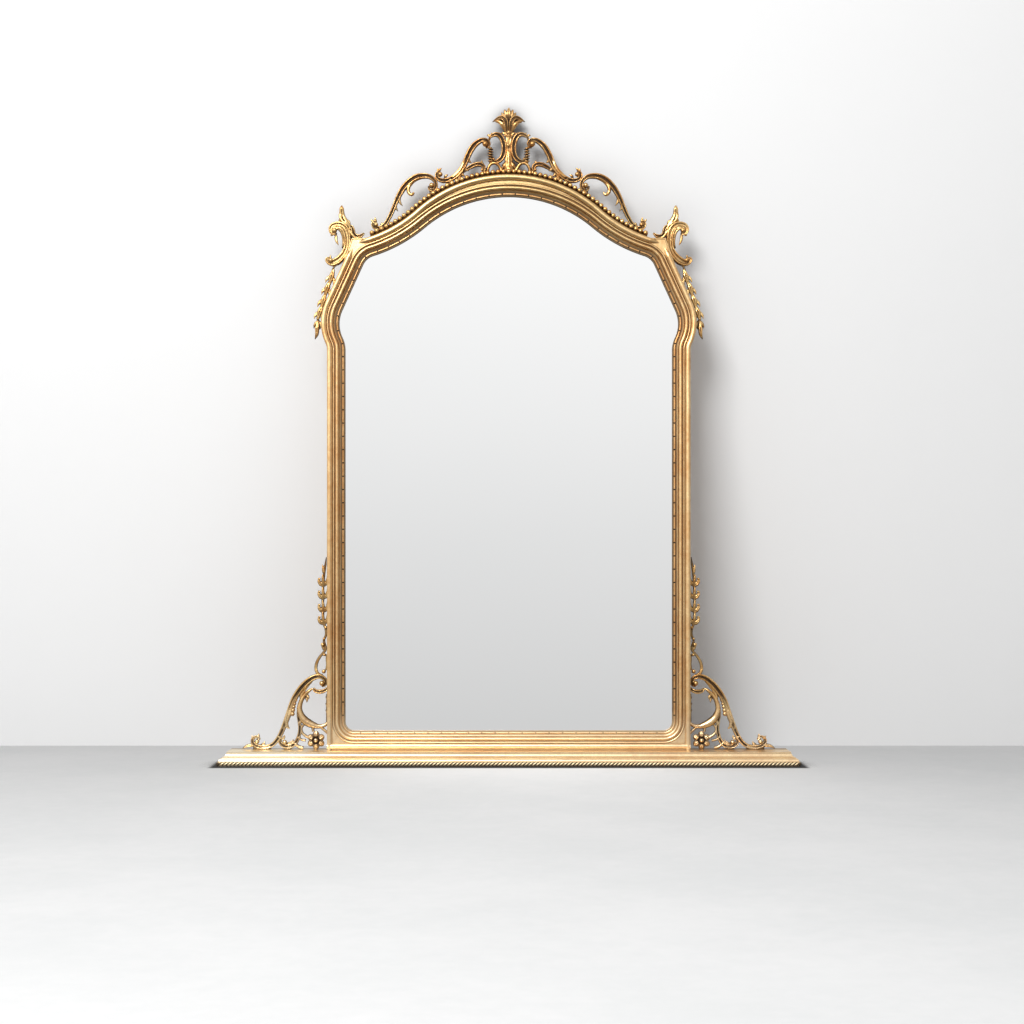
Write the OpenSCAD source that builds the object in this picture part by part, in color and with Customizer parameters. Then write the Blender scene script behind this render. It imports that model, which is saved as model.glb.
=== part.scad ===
// Overmantel mirror: a moulded, arched pine frame with gilt composition ornament on a stepped plinth.
// The front looks along -Y, the middle of the plinth's underside is the origin, and +Z is up.

/* [Plinth] */
// Length of the plinth over its rope moulding
plinth_l = 1306; // [1200:1:1400]
// Depth of the plinth from its back to the front of its rope moulding
plinth_d = 100; // [94:1:110]
// Height of the plinth
plinth_h = 30; // [29:1:36]
// Radius of the rope moulding round the plinth's foot
rope_r = 4.5; // [4:0.1:5]
// Radius of the quarter round above the rope
ovolo_r = 7; // [5:0.5:8]
// Radius of the hollow under the plinth's top fillet
hollow_r = 7; // [5:0.5:7]
// Width of each small step between the plinth's mouldings
step_w = 1.5; // [1:0.1:2]
// Height of the small step between the quarter round and the hollow
step_h = 1.8; // [1:0.1:2]

/* [Sight opening] */
// Half of the width of the glass between the stiles
sight_half_w = 371; // [360:1:400]
// Height of the lower sight edge above the frame's foot
rail_h = 43; // [42:1:50]
// Height of the top of the sight edge above the frame's foot
sight_rise = 1255; // [1150:1:1300]
// Radius of the two lower corners of the sight edge
low_r = 20; // [14:1:30]

/* [Arched head] */
// Radius of the crown, measured at the sight edge
crown_r = 295; // [285:1:305]
// Angle from the middle of the crown to its end
crown_a = 40; // [38:0.5:42]
// Radius of the hollow haunch beside the crown
haunch_r = 346.7; // [340:0.1:354]
// Slope of the haunch at its outer end
haunch_a = 17.5; // [16:0.5:19]
// Radius of the round corner at the end of the haunch
corner_r = 37; // [33:1:42]
// Slope of the straight shoulder below the corner
shoulder_a = 65.5; // [64:0.5:68]
// Radius of the knee at the shoulder's foot
knee_r = 72.5; // [66:0.5:80]
// Angle by which the knee turns inwards past the vertical
knee_a = 25.3; // [22:0.1:28]
// Radius of the hollow neck between knee and stile
neck_r = 70; // [64:0.5:76]
// Reach of the pointed ear beyond the middle of the round corner
ear_reach = 58; // [54:1:62]
// Rise of the ear above the middle of the round corner
ear_rise = 73; // [70:1:78]
// Distance along the shoulder at which the ear's side edge dies out
ear_fade = 28; // [20:1:36]

/* [Frame moulding] */
// Width of the moulding across the face
moulding_w = 40; // [38:0.5:42]
// Extra width of the moulding at the top of the crown
crown_swell = 7; // [5:0.5:9]
// Width of the sight side members, up to the outer band
member_w = 29; // [28.8:0.1:30]
// Gap by which the frame's back stands in front of the plinth's back
back_gap = 7; // [6:0.5:10]
// Height of the ground on which the ribs stand
ground_h = 28; // [27:0.5:29]
// Height of the seat of the sight trim
lip_h = 22; // [21:0.5:23]
// Distance from the sight edge to the cove beside the sight trim
cove_in = 8; // [7.5:0.1:8.5]
// Radius of the wide rib
wide_rib_r = 3.8; // [3.4:0.1:4]
// Radius of the thin rib
thin_rib_r = 2.2; // [1.8:0.1:2.4]
// Height of the ribs' middles above the ground
rib_lift = 1.4; // [1:0.1:1.6]
// Gap between the thin rib and the outer band
rib_gap = 0.5; // [0.3:0.1:0.8]
// Distance from the outer edge to the highest line of the outer band
band_crown_in = 5; // [4.5:0.1:5.5]
// Radius of the outer round band
band_r = 7.5; // [7.2:0.1:8.5]
// Height of the middle of the outer round band's circle
band_mid_h = 28.5; // [28:0.5:29]
// Width of the outer round band
band_w = 11.5; // [11.2:0.1:12]
// Height of the flat faces in the ears and lower corners
flat_h = 31; // [30:0.5:32]
// Radius of the fine edge bead round the ears
edge_bead_r = 1.6; // [1.2:0.1:2]

/* [Sight trim] */
// Radius of the half round sight trim
trim_r = 2.4; // [2:0.1:2.6]
// Distance from the sight edge to the middle of the trim
trim_in = 4.6; // [4:0.1:5]
// Pitch of the notches along the trim
notch_pitch = 30; // [24:1:34]
// Width of a notch along the trim
notch_w = 3; // [2:0.1:4]
// Thickness of trim that is left under a notch
notch_floor = 0.8; // [0.6:0.1:1.2]
// Hairline that is left at each end of a length of trim
trim_joint = 0.05; // [0.02:0.01:0.2]

/* [Glass and back] */
// Depth of the rebate for glass and backboard
rebate_d = 16; // [15:0.5:18]
// Width of the rebate behind the sight edge
rebate_w = 8; // [7:0.5:9]
// Gap between glass and rebate wall
glass_gap = 0.5; // [0.3:0.1:1]
// Thickness of the mirror glass
glass_t = 5; // [4:0.5:6]
// Length of a turn button that holds the backboard
button_l = 26; // [22:1:30]
// Width of a turn button
button_w = 12; // [10:1:14]
// Thickness of a turn button
button_t = 1.5; // [1:0.1:2]
// Number of turn buttons up each stile
stile_buttons = 3; // [2:1:4]
// Number of turn buttons along the bottom rail
rail_buttons = 3; // [2:1:5]

/* [Screws and dowels] */
// Radius of the shank of the small screws
screw_r = 1.75; // [1.5:0.05:2]
// Radius of the head of the small screws
screw_head_r = 3.4; // [3:0.1:3.8]
// Height of the head of the small screws
screw_head_h = 1.4; // [1:0.1:1.6]
// Length of the shank of the small screws in the timber
screw_l = 12; // [8:0.5:14]
// Radius of the screws that hold the plinth
plinth_screw_r = 2.5; // [2:0.1:3]
// Radius of the head of the plinth screws
plinth_head_r = 4.8; // [4:0.1:5]
// Depth of the counterbore for the heads under the plinth
plinth_bore_d = 8; // [6:0.5:10]
// Radius of the counterbore for the heads under the plinth
plinth_bore_r = 6; // [5.5:0.1:7]
// Length of a plinth screw in the bottom rail
plinth_screw_bite = 22; // [15:1:25]
// Distance between neighbouring plinth screws
plinth_screw_pitch = 240; // [200:5:260]
// Radius of the dowels in the frame's joints
dowel_r = 4; // [3:0.25:4.5]
// Length of a dowel on each side of its joint
dowel_half_l = 16; // [12:1:20]
// Distance of a dowel's axis from the frame's back
dowel_h = 13; // [12:0.5:15]
// Distance of the inner dowel from the sight edge
dowel_in = 15; // [14:0.5:17]
// Distance between the two dowels of a joint
dowel_gap = 15; // [13:0.5:17]

/* [Ring hangers] */
// Distance of the hangers' eyes below the head of the straight stile
hanger_drop = 63; // [45:1:110]
// Radius of the wire of a hanging ring
ring_wire_r = 1.5; // [1.3:0.05:1.8]
// Inner radius of the bend of a hanging ring
ring_in_r = 10.5; // [9:0.5:12]
// Running gap between the ring's bar and the strap's eye
eye_gap = 0.1; // [0.06:0.01:0.1]
// Thickness of the strap's sheet
strap_t = 1.5; // [1.2:0.1:1.8]
// Width of the strap
strap_w = 14; // [12:0.5:16]
// Length of the strap below its eye
strap_l = 34; // [30:1:40]
// Gap between the strap and the ring that hangs over it
ring_gap = 0.4; // [0.3:0.05:0.6]

/* [Bead row] */
// Radius of a bead on the arch
bead_r = 5.6; // [5:0.1:5.8]
// Pitch of the beads
bead_pitch = 12.2; // [12:0.1:13]
// Thickness of the fillet under the beads
bead_bed_t = 2.5; // [2:0.1:3]
// Width of the fillet under the beads
bead_bed_w = 8; // [7:0.5:9]
// Reach of the fillet's back behind the beads, over the frame's edge
bead_back_w = 10; // [8:0.5:11]
// Thickness of the fillet's back
bead_back_t = 1.1; // [0.9:0.1:1.1]
// Gap between the beads and the fillet's back
bead_back_gap = 0.2; // [0.1:0.05:0.2]
// Depth by which a bead is sunk in its fillet
bead_sink = 0.1; // [0.05:0.01:0.1]
// Distance of the beads' middles from the frame's back
bead_h = 27.6; // [27.4:0.1:28]
// Slope of the haunch where the bead row ends
bead_end_a = 19; // [19:0.5:22]

/* [Ornament] */
// Distance of the middle of the scrollwork from the frame's back
relief_h = 13; // [12:0.5:13]
// Depth of a scroll's section in shares of its width on the face
relief_k = 1.05; // [0.9:0.01:1.1]

/* [Hidden] */
$fn = 48;
gilt = [0.80, 0.62, 0.30];
old_gilt = [0.72, 0.56, 0.30];
pine = [0.70, 0.55, 0.38];
steel = [0.62, 0.63, 0.65];
silver = [0.86, 0.88, 0.90];
eps = 0.01;
far = 600;

// Plinth
back_y = plinth_d / 2;
core_half_l = plinth_l / 2 - rope_r;
core_d = plinth_d - rope_r;
rope_band_h = 2 * rope_r + 1;
top_fillet_h = plinth_h - rope_band_h - ovolo_r - step_h - hollow_r;

// Sight edge of the right half: tangent arcs and straights from the crown down to the rail
frame_y = back_y - back_gap;
foot_z = plinth_h;
sight_low_z = foot_z + rail_h;
sight_top_z = foot_z + sight_rise;
crown_c = [0, sight_top_z - crown_r];
haunch_c = crown_c + (crown_r + haunch_r) * [sin(crown_a), cos(crown_a)];
haunch_end = haunch_c - haunch_r * [sin(haunch_a), cos(haunch_a)];
corner_c = haunch_end - corner_r * [sin(haunch_a), cos(haunch_a)];
corner_end = corner_c + corner_r * [sin(shoulder_a), cos(shoulder_a)];
knee_x = sight_half_w + neck_r - (neck_r + knee_r) * cos(knee_a);
shoulder_len = (knee_x + knee_r * sin(shoulder_a) - corner_end.x) / cos(shoulder_a);
shoulder_end = corner_end + shoulder_len * [cos(shoulder_a), -sin(shoulder_a)];
knee_c = shoulder_end - knee_r * [sin(shoulder_a), cos(shoulder_a)];
knee_end = knee_c + knee_r * [cos(knee_a), -sin(knee_a)];
neck_c = knee_end + neck_r * [cos(knee_a), -sin(knee_a)];
stile_top = [sight_half_w, neck_c.y];
low_c = [sight_half_w - low_r, sight_low_z + low_r];
stile_len = stile_top.y - low_c.y;
crown_end = crown_c + crown_r * [sin(crown_a), cos(crown_a)];

// Outer edge: the crown swells towards its middle on a circle that is tangent to the haunch
band_in = moulding_w - band_w;
outer_x = sight_half_w + moulding_w;
crown_top_z = sight_top_z + moulding_w + crown_swell;
haunch_out_r = haunch_r - moulding_w;
swell_sum = crown_top_z + haunch_out_r;
swell_c = [0, (swell_sum * swell_sum - haunch_c * haunch_c) / (2 * (swell_sum - haunch_c.y))];
swell_r = crown_top_z - swell_c.y;
swell_a = atan2(haunch_c.x, haunch_c.y - swell_c.y);
ear = corner_c + [ear_reach, ear_rise];
ear_side = corner_end + moulding_w * [sin(shoulder_a), cos(shoulder_a)]
  + ear_fade * [cos(shoulder_a), -sin(shoulder_a)];

// Joints of the right half: point on the sight edge and direction of travel towards the foot
joints = [
  [crown_end, -crown_a],
  [shoulder_end, -shoulder_a],
  [stile_top, -90],
  [low_c + [low_r, 0], -90]
];

// Hangers
hanger_x = sight_half_w + (rebate_w + moulding_w) / 2;
hanger_z = stile_top.y - hanger_drop;
eye_y = frame_y + strap_t + ring_gap + ring_wire_r;
eye_r = ring_wire_r + eye_gap;
ring_bend_r = ring_in_r + ring_wire_r;
strap_screw_z = [-18, -29];

// ---- Helpers ----

function on_circle(c, r, a) = c + r * [cos(a), sin(a)];
function arc(c, r, a0, a1, n) = [for (i = [0:n]) on_circle(c, r, a0 + (a1 - a0) * i / n)];
function flipped(points) = [for (i = [len(points) - 1:-1:0]) [-points[i].x, points[i].y]];

// The right half of the sight edge, moved outwards by u
function half_sight(u) = concat(
  arc(crown_c, crown_r + u, 90, 90 - crown_a, 16),
  arc(haunch_c, haunch_r - u, 270 - crown_a, 270 - haunch_a, 8),
  arc(corner_c, corner_r + u, 90 - haunch_a, 90 - shoulder_a, 8),
  arc(knee_c, knee_r + u, 90 - shoulder_a, -knee_a, 14),
  arc(neck_c, neck_r - u, 180 - knee_a, 180, 5),
  arc(low_c, low_r + u, 0, -90, 8)
);

// The right half of the frame's outer edge
function half_outer() = concat(
  arc(swell_c, swell_r, 90, 90 - swell_a, 24),
  arc(haunch_c, haunch_out_r, 270 - swell_a, 270 - haunch_a, 8),
  [ear, ear_side],
  arc(knee_c, knee_r + moulding_w, 90 - shoulder_a, -knee_a, 16),
  arc(neck_c, neck_r - moulding_w, 180 - knee_a, 180, 4),
  [[outer_x, foot_z]]
);

// Curve through hand-set points [x, z, width on the face]
function curve_at(p, i, t) =
  let (
    a = p[max(i - 1, 0)],
    b = p[i],
    c = p[min(i + 1, len(p) - 1)],
    d = p[min(i + 2, len(p) - 1)]
  )
  0.5 * (2 * b + t * (c - a) + t * t * (2 * a - 5 * b + 4 * c - d) + t * t * t * (3 * b - a - 3 * c + d));
function curve(p, n) = [for (i = [0:len(p) - 2], k = [0:n - 1]) curve_at(p, i, k / n), p[len(p) - 1]];

// Puts a drawing of the front, with its third axis towards the viewer, on the frame's back plane
module on_face() {
  translate([0, frame_y, 0]) rotate([90, 0, 0]) children();
}

module right() {
  on_face() children();
}

module left() {
  on_face() mirror([1, 0, 0]) children();
}

module both_sides() {
  children();
  mirror([1, 0, 0]) children();
}

module at_joint(j) {
  translate(j[0]) rotate([0, 0, j[1]]) children();
}

// Sweeps a profile (distance from the sight edge, height) along a straight
module run(p, direction, length) {
  translate(p) rotate([0, 0, direction]) rotate([90, 0, 90]) linear_extrude(length) children();
}

// Sweeps a profile round a centre inside the opening
module bend(c, r, a0, a1) {
  translate(c) rotate([0, 0, a0]) rotate_extrude(angle = a1 - a0) translate([r, 0]) children();
}

// Sweeps a profile round a centre outside the opening
module hollow_bend(c, r, a0, a1) {
  translate(c) rotate([0, 0, a0]) rotate_extrude(angle = a1 - a0) translate([r, 0]) mirror([1, 0]) children();
}

// A scroll: a ridged bar along a curve, with a flat back
module scroll(points, n = 2, sides = 5) {
  path = curve(points, n);
  last = len(path) - 1;
  rings = [
    for (i = [0:last])
      let (
        d = path[min(i + 1, last)] - path[max(i - 1, 0)],
        across = [-d.y, d.x] / norm([d.x, d.y]),
        r = path[i][2]
      )
      for (k = [0:sides - 1])
        let (a = 90 + 360 * k / sides)
        [
          path[i].x + across.x * r * cos(a),
          path[i].y + across.y * r * cos(a),
          relief_h + relief_k * r * sin(a)
        ]
  ];
  sleeve = [
    for (i = [0:last - 1], k = [0:sides - 1])
      [i * sides + k, (i + 1) * sides + k, (i + 1) * sides + (k + 1) % sides, i * sides + (k + 1) % sides]
  ];
  start = [for (k = [0:sides - 1]) k];
  end = [for (k = [sides - 1:-1:0]) last * sides + k];
  polyhedron(rings, concat(sleeve, [start, end]), convexity = 8);
}

// A round boss on the relief's middle plane
module boss(p, r, sides = 8) {
  translate([p.x, p.y, relief_h]) scale([1, 1, relief_k]) sphere(r, $fn = sides);
}

// A carved leaf with a ridge: it starts inside its stem, swells and runs out to a point
module leaf(root, tip, w) {
  d = tip - root;
  side = w * [-d.y, d.x] / norm(d);
  start = root - 0.3 * w * d / norm(d);
  belly = root + 0.3 * d;
  corners = [
    [start.x, start.y, relief_h],
    [tip.x, tip.y, relief_h],
    [belly.x + side.x, belly.y + side.y, relief_h],
    [belly.x - side.x, belly.y - side.y, relief_h],
    [belly.x, belly.y, relief_h + relief_k * w],
    [belly.x, belly.y, relief_h - relief_k * w]
  ];
  hull() polyhedron(corners, [[0, 2, 4], [0, 4, 3], [0, 3, 5], [0, 5, 2], [1, 4, 2], [1, 3, 4], [1, 5, 3], [1, 2, 5]]);
}

// A lobe with round ends
module lobe(a, ra, b, rb) {
  hull() {
    boss(a, ra, 5);
    boss(b, rb, 6);
  }
}

// ---- Moulding profiles: distance from the sight edge, height over the back ----

module member_profile(width = member_w) {
  cove_r = ground_h - lip_h;
  rib_in = cove_in + cove_r;
  translate([0, rebate_d]) square([width, lip_h - rebate_d]);
  translate([rebate_w, 0]) square([width - rebate_w, lip_h]);
  translate([rib_in, 0]) square([width - rib_in, ground_h]);
  difference() {
    translate([cove_in, lip_h - 1]) square([cove_r + 1, cove_r + 1]);
    translate([cove_in, ground_h]) circle(cove_r);
  }
  translate([rib_in + wide_rib_r, ground_h + rib_lift]) circle(wide_rib_r);
  translate([band_in - rib_gap - thin_rib_r, ground_h + rib_lift]) circle(thin_rib_r);
}

module band_profile() {
  translate([band_in, 0]) square([band_w, band_mid_h]);
  intersection() {
    translate([band_in, band_mid_h - 1]) square([band_w, band_r + 1]);
    translate([moulding_w - band_crown_in, band_mid_h]) circle(band_r);
  }
}

module full_profile() {
  member_profile();
  band_profile();
}

module trim_profile() {
  intersection() {
    translate([trim_in, lip_h]) circle(trim_r);
    translate([trim_in - trim_r, lip_h]) square([2 * trim_r, trim_r]);
  }
}

// ---- Holes and dowels that the pieces share ----

module dowel_pair(j, half_l = dowel_half_l) {
  at_joint(j)
    for (u = [dowel_in, dowel_in + dowel_gap])
      translate([-half_l, u, dowel_h]) rotate([0, 90, 0]) cylinder(r = dowel_r, h = 2 * half_l);
}

function row(n, from, to) = [for (i = [0:n - 1]) from + (to - from) * (i + 0.5) / n];
button_z = row(stile_buttons, low_c.y, hanger_z - strap_l);
button_x = row(rail_buttons, -low_c.x, low_c.x);
button_screw_in = rebate_w + button_l / 2 - 3;

// Middle of each turn button of the right half and of the rail: point on the sight edge and travel
stile_button_spots = [for (z = button_z) [[sight_half_w, z], -90]];
rail_button_spots = [for (x = button_x) [[x, sight_low_z], 180]];
haunch_button_a = (crown_a + haunch_a) / 2;
haunch_button_spot = [haunch_c - haunch_r * [sin(haunch_button_a), cos(haunch_button_a)], -haunch_button_a];
shoulder_button_spot = [corner_end + shoulder_len / 3 * [cos(shoulder_a), -sin(shoulder_a)], -shoulder_a];
crown_button_spot = [[0, sight_top_z], 0];

module button_screw_holes(spots) {
  for (s = spots)
    at_joint(s) translate([0, button_screw_in, -eps]) cylinder(r = screw_r, h = screw_l + eps);
}

module strap_screw_holes() {
  for (z = strap_screw_z)
    translate([hanger_x, hanger_z + z, -eps]) cylinder(r = screw_r, h = screw_l + eps);
}

plinth_screw_x = [-1.5, -0.5, 0.5, 1.5] * plinth_screw_pitch;
plinth_screw_h = (rebate_w + ground_h) / 2;

// ---- Timber pieces of the frame ----

module crown_sector() {
  linear_extrude(far / 4)
    polygon([crown_c, crown_c + far * [-sin(crown_a), cos(crown_a)], crown_c + far * [sin(crown_a), cos(crown_a)]]);
}

module crown_form() {
  bend(crown_c, crown_r, 90 - crown_a, 90 + crown_a) member_profile(moulding_w - 4);
  intersection() {
    translate(swell_c) rotate([0, 0, 87 - swell_a]) rotate_extrude(angle = 2 * swell_a + 6)
      translate([swell_r - moulding_w, 0]) band_profile();
    crown_sector();
  }
}

module haunch_form() {
  difference() {
    hollow_bend(haunch_c, haunch_r, 270 - crown_a, 270 - haunch_a) full_profile();
    dowel_pair(joints[0]);
    button_screw_holes([haunch_button_spot]);
  }
}

// The flat, pointed ear outside the round corner, with a fine bead along its edges
module ear_plate() {
  inner_r = corner_r + band_in - rib_gap / 2;
  outer_r = corner_r + moulding_w;
  top_start = corner_c + outer_r * [sin(haunch_a), cos(haunch_a)];
  side_start = corner_c + outer_r * [sin(shoulder_a), cos(shoulder_a)];
  linear_extrude(flat_h)
    polygon(concat(arc(corner_c, inner_r, 90 - haunch_a, 90 - shoulder_a, 10), [side_start, ear_side, ear, top_start]));
  for (e = [[ear_side, ear], [ear, top_start]])
    let (d = e[1] - e[0])
    translate([e[0].x, e[0].y, flat_h])
      rotate([0, 0, atan2(d.y, d.x)]) translate([0, edge_bead_r, 0]) rotate([0, 90, 0])
        cylinder(r = edge_bead_r, h = norm(d));
}

module ear_block_form() {
  bend(corner_c, corner_r, 90 - shoulder_a, 90 - haunch_a) member_profile();
  difference() {
    ear_plate();
    translate(corner_end) rotate([0, 0, -shoulder_a]) translate([0, 0, -1]) cube([shoulder_len, moulding_w, far / 10]);
  }
}

module shoulder_form() {
  difference() {
    run(corner_end, -shoulder_a, shoulder_len) full_profile();
    dowel_pair(joints[1]);
    button_screw_holes([shoulder_button_spot]);
  }
}

module knee_form() {
  difference() {
    bend(knee_c, knee_r, -knee_a, 90 - shoulder_a) full_profile();
    dowel_pair(joints[1]);
  }
}

module neck_form() {
  difference() {
    hollow_bend(neck_c, neck_r, 180 - knee_a, 180) full_profile();
    dowel_pair(joints[2]);
  }
}

module stile_form() {
  difference() {
    run(stile_top, -90, stile_len) full_profile();
    dowel_pair(joints[2]);
    dowel_pair(joints[3]);
    button_screw_holes(stile_button_spots);
    strap_screw_holes();
  }
}

module corner_block() {
  difference() {
    translate([low_c.x, foot_z, 0]) cube([outer_x - low_c.x - 1, low_c.y - foot_z, flat_h - 1]);
    translate([low_c.x, low_c.y, -1]) cylinder(r = low_r + band_in - rib_gap / 2, h = far / 10, $fn = 72);
  }
}

module rail_form() {
  difference() {
    union() {
      run([low_c.x, sight_low_z], 180, 2 * low_c.x) member_profile();
      run([outer_x, sight_low_z], 180, 2 * outer_x) band_profile();
      translate([-outer_x, foot_z, 0]) cube([2 * outer_x, rail_h - moulding_w + 1, flat_h + 1]);
      both_sides() {
        bend(low_c, low_r, -90, 0) member_profile();
        corner_block();
        run([sight_half_w, low_c.y], -90, low_c.y - foot_z) band_profile();
      }
    }
    both_sides() dowel_pair(joints[3]);
    button_screw_holes(rail_button_spots);
    for (x = plinth_screw_x)
      translate([x, foot_z - eps, plinth_screw_h]) rotate([-90, 0, 0])
        cylinder(r = plinth_screw_r, h = plinth_screw_bite + eps);
  }
}

module bottom_rail() { color(old_gilt) right() rail_form(); }
module left_stile() { color(old_gilt) left() stile_form(); }
module right_stile() { color(old_gilt) right() stile_form(); }
module left_neck() { color(old_gilt) left() neck_form(); }
module right_neck() { color(old_gilt) right() neck_form(); }
module left_knee() { color(old_gilt) left() knee_form(); }
module right_knee() { color(old_gilt) right() knee_form(); }
module left_shoulder() { color(old_gilt) left() shoulder_form(); }
module right_shoulder() { color(old_gilt) right() shoulder_form(); }
module left_ear_block() { color(old_gilt) left() ear_block_form(); }
module right_ear_block() { color(old_gilt) right() ear_block_form(); }
module left_haunch() { color(old_gilt) left() haunch_form(); }
module right_haunch() { color(old_gilt) right() haunch_form(); }

module arch_crown() {
  color(old_gilt) right() difference() {
    crown_form();
    both_sides() dowel_pair(joints[0]);
    button_screw_holes([crown_button_spot]);
  }
}

// ---- Sight trim: a half round with notches ----

module notch() {
  translate([-notch_w / 2, trim_in - trim_r - 1, lip_h + notch_floor])
    cube([notch_w, 2 * trim_r + 2, trim_r]);
}

function joint_angle(r) = trim_joint / r * 180 / PI;
function notches(length) = max(1, round(length / notch_pitch));

module trim_run(p, direction, length) {
  n = notches(length);
  translate(p) rotate([0, 0, direction]) difference() {
    run([trim_joint, 0], 0, length - 2 * trim_joint) trim_profile();
    for (i = [0:n - 1]) translate([length * (i + 0.5) / n, 0, 0]) notch();
  }
}

module trim_bend(c, r, a0, a1) {
  n = notches((a1 - a0) * PI / 180 * r);
  difference() {
    bend(c, r, a0 + joint_angle(r), a1 - joint_angle(r)) trim_profile();
    for (i = [0:n - 1])
      translate(c) rotate([0, 0, a0 + (a1 - a0) * (i + 0.5) / n - 90]) translate([0, r, 0]) notch();
  }
}

module trim_hollow_bend(c, r, a0, a1) {
  n = notches((a1 - a0) * PI / 180 * r);
  difference() {
    hollow_bend(c, r, a0 + joint_angle(r), a1 - joint_angle(r)) trim_profile();
    for (i = [0:n - 1])
      translate(c) rotate([0, 0, a0 + (a1 - a0) * (i + 0.5) / n + 90]) translate([0, -r, 0]) notch();
  }
}

module side_trim_form() {
  trim_bend(knee_c, knee_r, -knee_a, 90 - shoulder_a);
  trim_hollow_bend(neck_c, neck_r, 180 - knee_a, 180);
  trim_run(stile_top, -90, stile_len);
}

module arch_trim() {
  color(gilt) right() {
    trim_bend(crown_c, crown_r, 90 - crown_a, 90 + crown_a);
    both_sides() {
      trim_hollow_bend(haunch_c, haunch_r, 270 - crown_a, 270 - haunch_a);
      trim_bend(corner_c, corner_r, 90 - shoulder_a, 90 - haunch_a);
      trim_run(corner_end, -shoulder_a, shoulder_len);
    }
  }
}

module rail_trim() {
  color(gilt) right() {
    trim_run([low_c.x, sight_low_z], 180, 2 * low_c.x);
    both_sides() bend(low_c, low_r, joint_angle(low_r) - 90, -joint_angle(low_r)) trim_profile();
  }
}

module left_side_trim() { color(gilt) left() side_trim_form(); }
module right_side_trim() { color(gilt) right() side_trim_form(); }

// ---- Glass, backboard and what holds them ----

module sight_sheet(u, h, t) {
  edge = half_sight(u);
  translate([0, 0, h]) linear_extrude(t) polygon(concat(edge, flipped(edge)));
}

module mirror_glass() {
  color(silver) right() sight_sheet(rebate_w - glass_gap, rebate_d - glass_t, glass_t);
}

module backboard() {
  color(pine) right() sight_sheet(rebate_w - glass_gap, 0, rebate_d - glass_t);
}

module button_form() {
  difference() {
    translate([-button_w / 2, rebate_w - button_l / 2, -button_t]) cube([button_w, button_l, button_t]);
    translate([0, button_screw_in, -button_t - 1]) cylinder(r = screw_r, h = button_t + 2);
  }
}

module small_screw() {
  translate([0, 0, -screw_head_h]) cylinder(r = screw_head_r, h = screw_head_h);
  translate([0, 0, -eps]) cylinder(r = screw_r, h = screw_l + eps);
}

module every_button_spot() {
  both_sides()
    for (s = concat(stile_button_spots, [haunch_button_spot, shoulder_button_spot]))
      at_joint(s) children();
  for (s = concat(rail_button_spots, [crown_button_spot]))
    at_joint(s) children();
}

module turn_buttons() { color(steel) right() every_button_spot() button_form(); }

module turn_button_screws() {
  color(steel) right() every_button_spot()
    translate([0, button_screw_in, -button_t]) small_screw();
}

module hanger_screws() {
  color(steel) right() both_sides()
    for (z = strap_screw_z) translate([hanger_x, hanger_z + z, -strap_t]) small_screw();
}

module frame_dowels() {
  color(pine) right() both_sides() for (j = joints) dowel_pair(j);
}

module plinth_screws() {
  color(steel) for (x = plinth_screw_x)
    translate([x, frame_y - plinth_screw_h, 0]) {
      translate([0, 0, plinth_bore_d - 3]) cylinder(r = plinth_head_r, h = 3);
      translate([0, 0, plinth_bore_d - eps])
        cylinder(r = plinth_screw_r, h = plinth_h - plinth_bore_d + plinth_screw_bite);
    }
}

// ---- Ring hangers on the stiles' backs ----

module strap_form() {
  difference() {
    union() {
      translate([-strap_w / 2, frame_y, -strap_l]) cube([strap_w, strap_t, strap_l]);
      translate([-strap_w / 2, frame_y, -eye_r - strap_t]) cube([strap_w, eye_y - frame_y, eye_r + strap_t]);
      translate([-strap_w / 2, eye_y, 0]) rotate([0, 90, 0]) cylinder(r = eye_r + strap_t - 0.1, h = strap_w);
    }
    translate([-strap_w / 2 - 1, eye_y, 0]) rotate([0, 90, 0]) cylinder(r = eye_r, h = strap_w + 2);
    for (z = strap_screw_z)
      translate([0, frame_y - 1, z]) rotate([-90, 0, 0]) cylinder(r = screw_r, h = strap_t + 2);
  }
}

module ring_form() {
  translate([-ring_bend_r, eye_y, 0]) rotate([0, 90, 0]) cylinder(r = ring_wire_r, h = 2 * ring_bend_r);
  translate([0, eye_y, 0]) rotate([90, 0, 0]) rotate([0, 0, 180]) rotate_extrude(angle = 180)
    translate([ring_bend_r, 0]) circle(ring_wire_r);
  for (s = [-1, 1]) translate([s * ring_bend_r, eye_y, 0]) sphere(ring_wire_r);
}

module left_hanger_strap() { color(steel) translate([-hanger_x, 0, hanger_z]) strap_form(); }
module right_hanger_strap() { color(steel) translate([hanger_x, 0, hanger_z]) strap_form(); }
module left_hanging_ring() { color(silver) translate([-hanger_x, 0, hanger_z]) ring_form(); }
module right_hanging_ring() { color(silver) translate([hanger_x, 0, hanger_z]) ring_form(); }

// ---- Plinth ----

// Section of one moulded edge: distance inwards from the rope's face, height
module plinth_edge(depth) {
  ovolo_z = rope_band_h;
  hollow_z = ovolo_z + ovolo_r + step_h;
  ovolo_in = rope_r + step_w - 1;
  hollow_in = ovolo_in + ovolo_r;
  translate([rope_r, 0]) square([depth - rope_r, ovolo_z]);
  intersection() {
    translate([ovolo_in + ovolo_r, ovolo_z]) circle(ovolo_r);
    translate([ovolo_in, ovolo_z - eps]) square([ovolo_r, ovolo_r + eps]);
  }
  translate([hollow_in - eps, ovolo_z - eps]) square([depth - hollow_in + eps, ovolo_r + step_h + 2 * eps]);
  difference() {
    translate([hollow_in, hollow_z]) square([depth - hollow_in, hollow_r]);
    translate([hollow_in, hollow_z + hollow_r]) circle(hollow_r);
  }
  translate([hollow_in + hollow_r + step_w, hollow_z + hollow_r - eps])
    square([depth - hollow_in - hollow_r - step_w, top_fillet_h + eps]);
}

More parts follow.
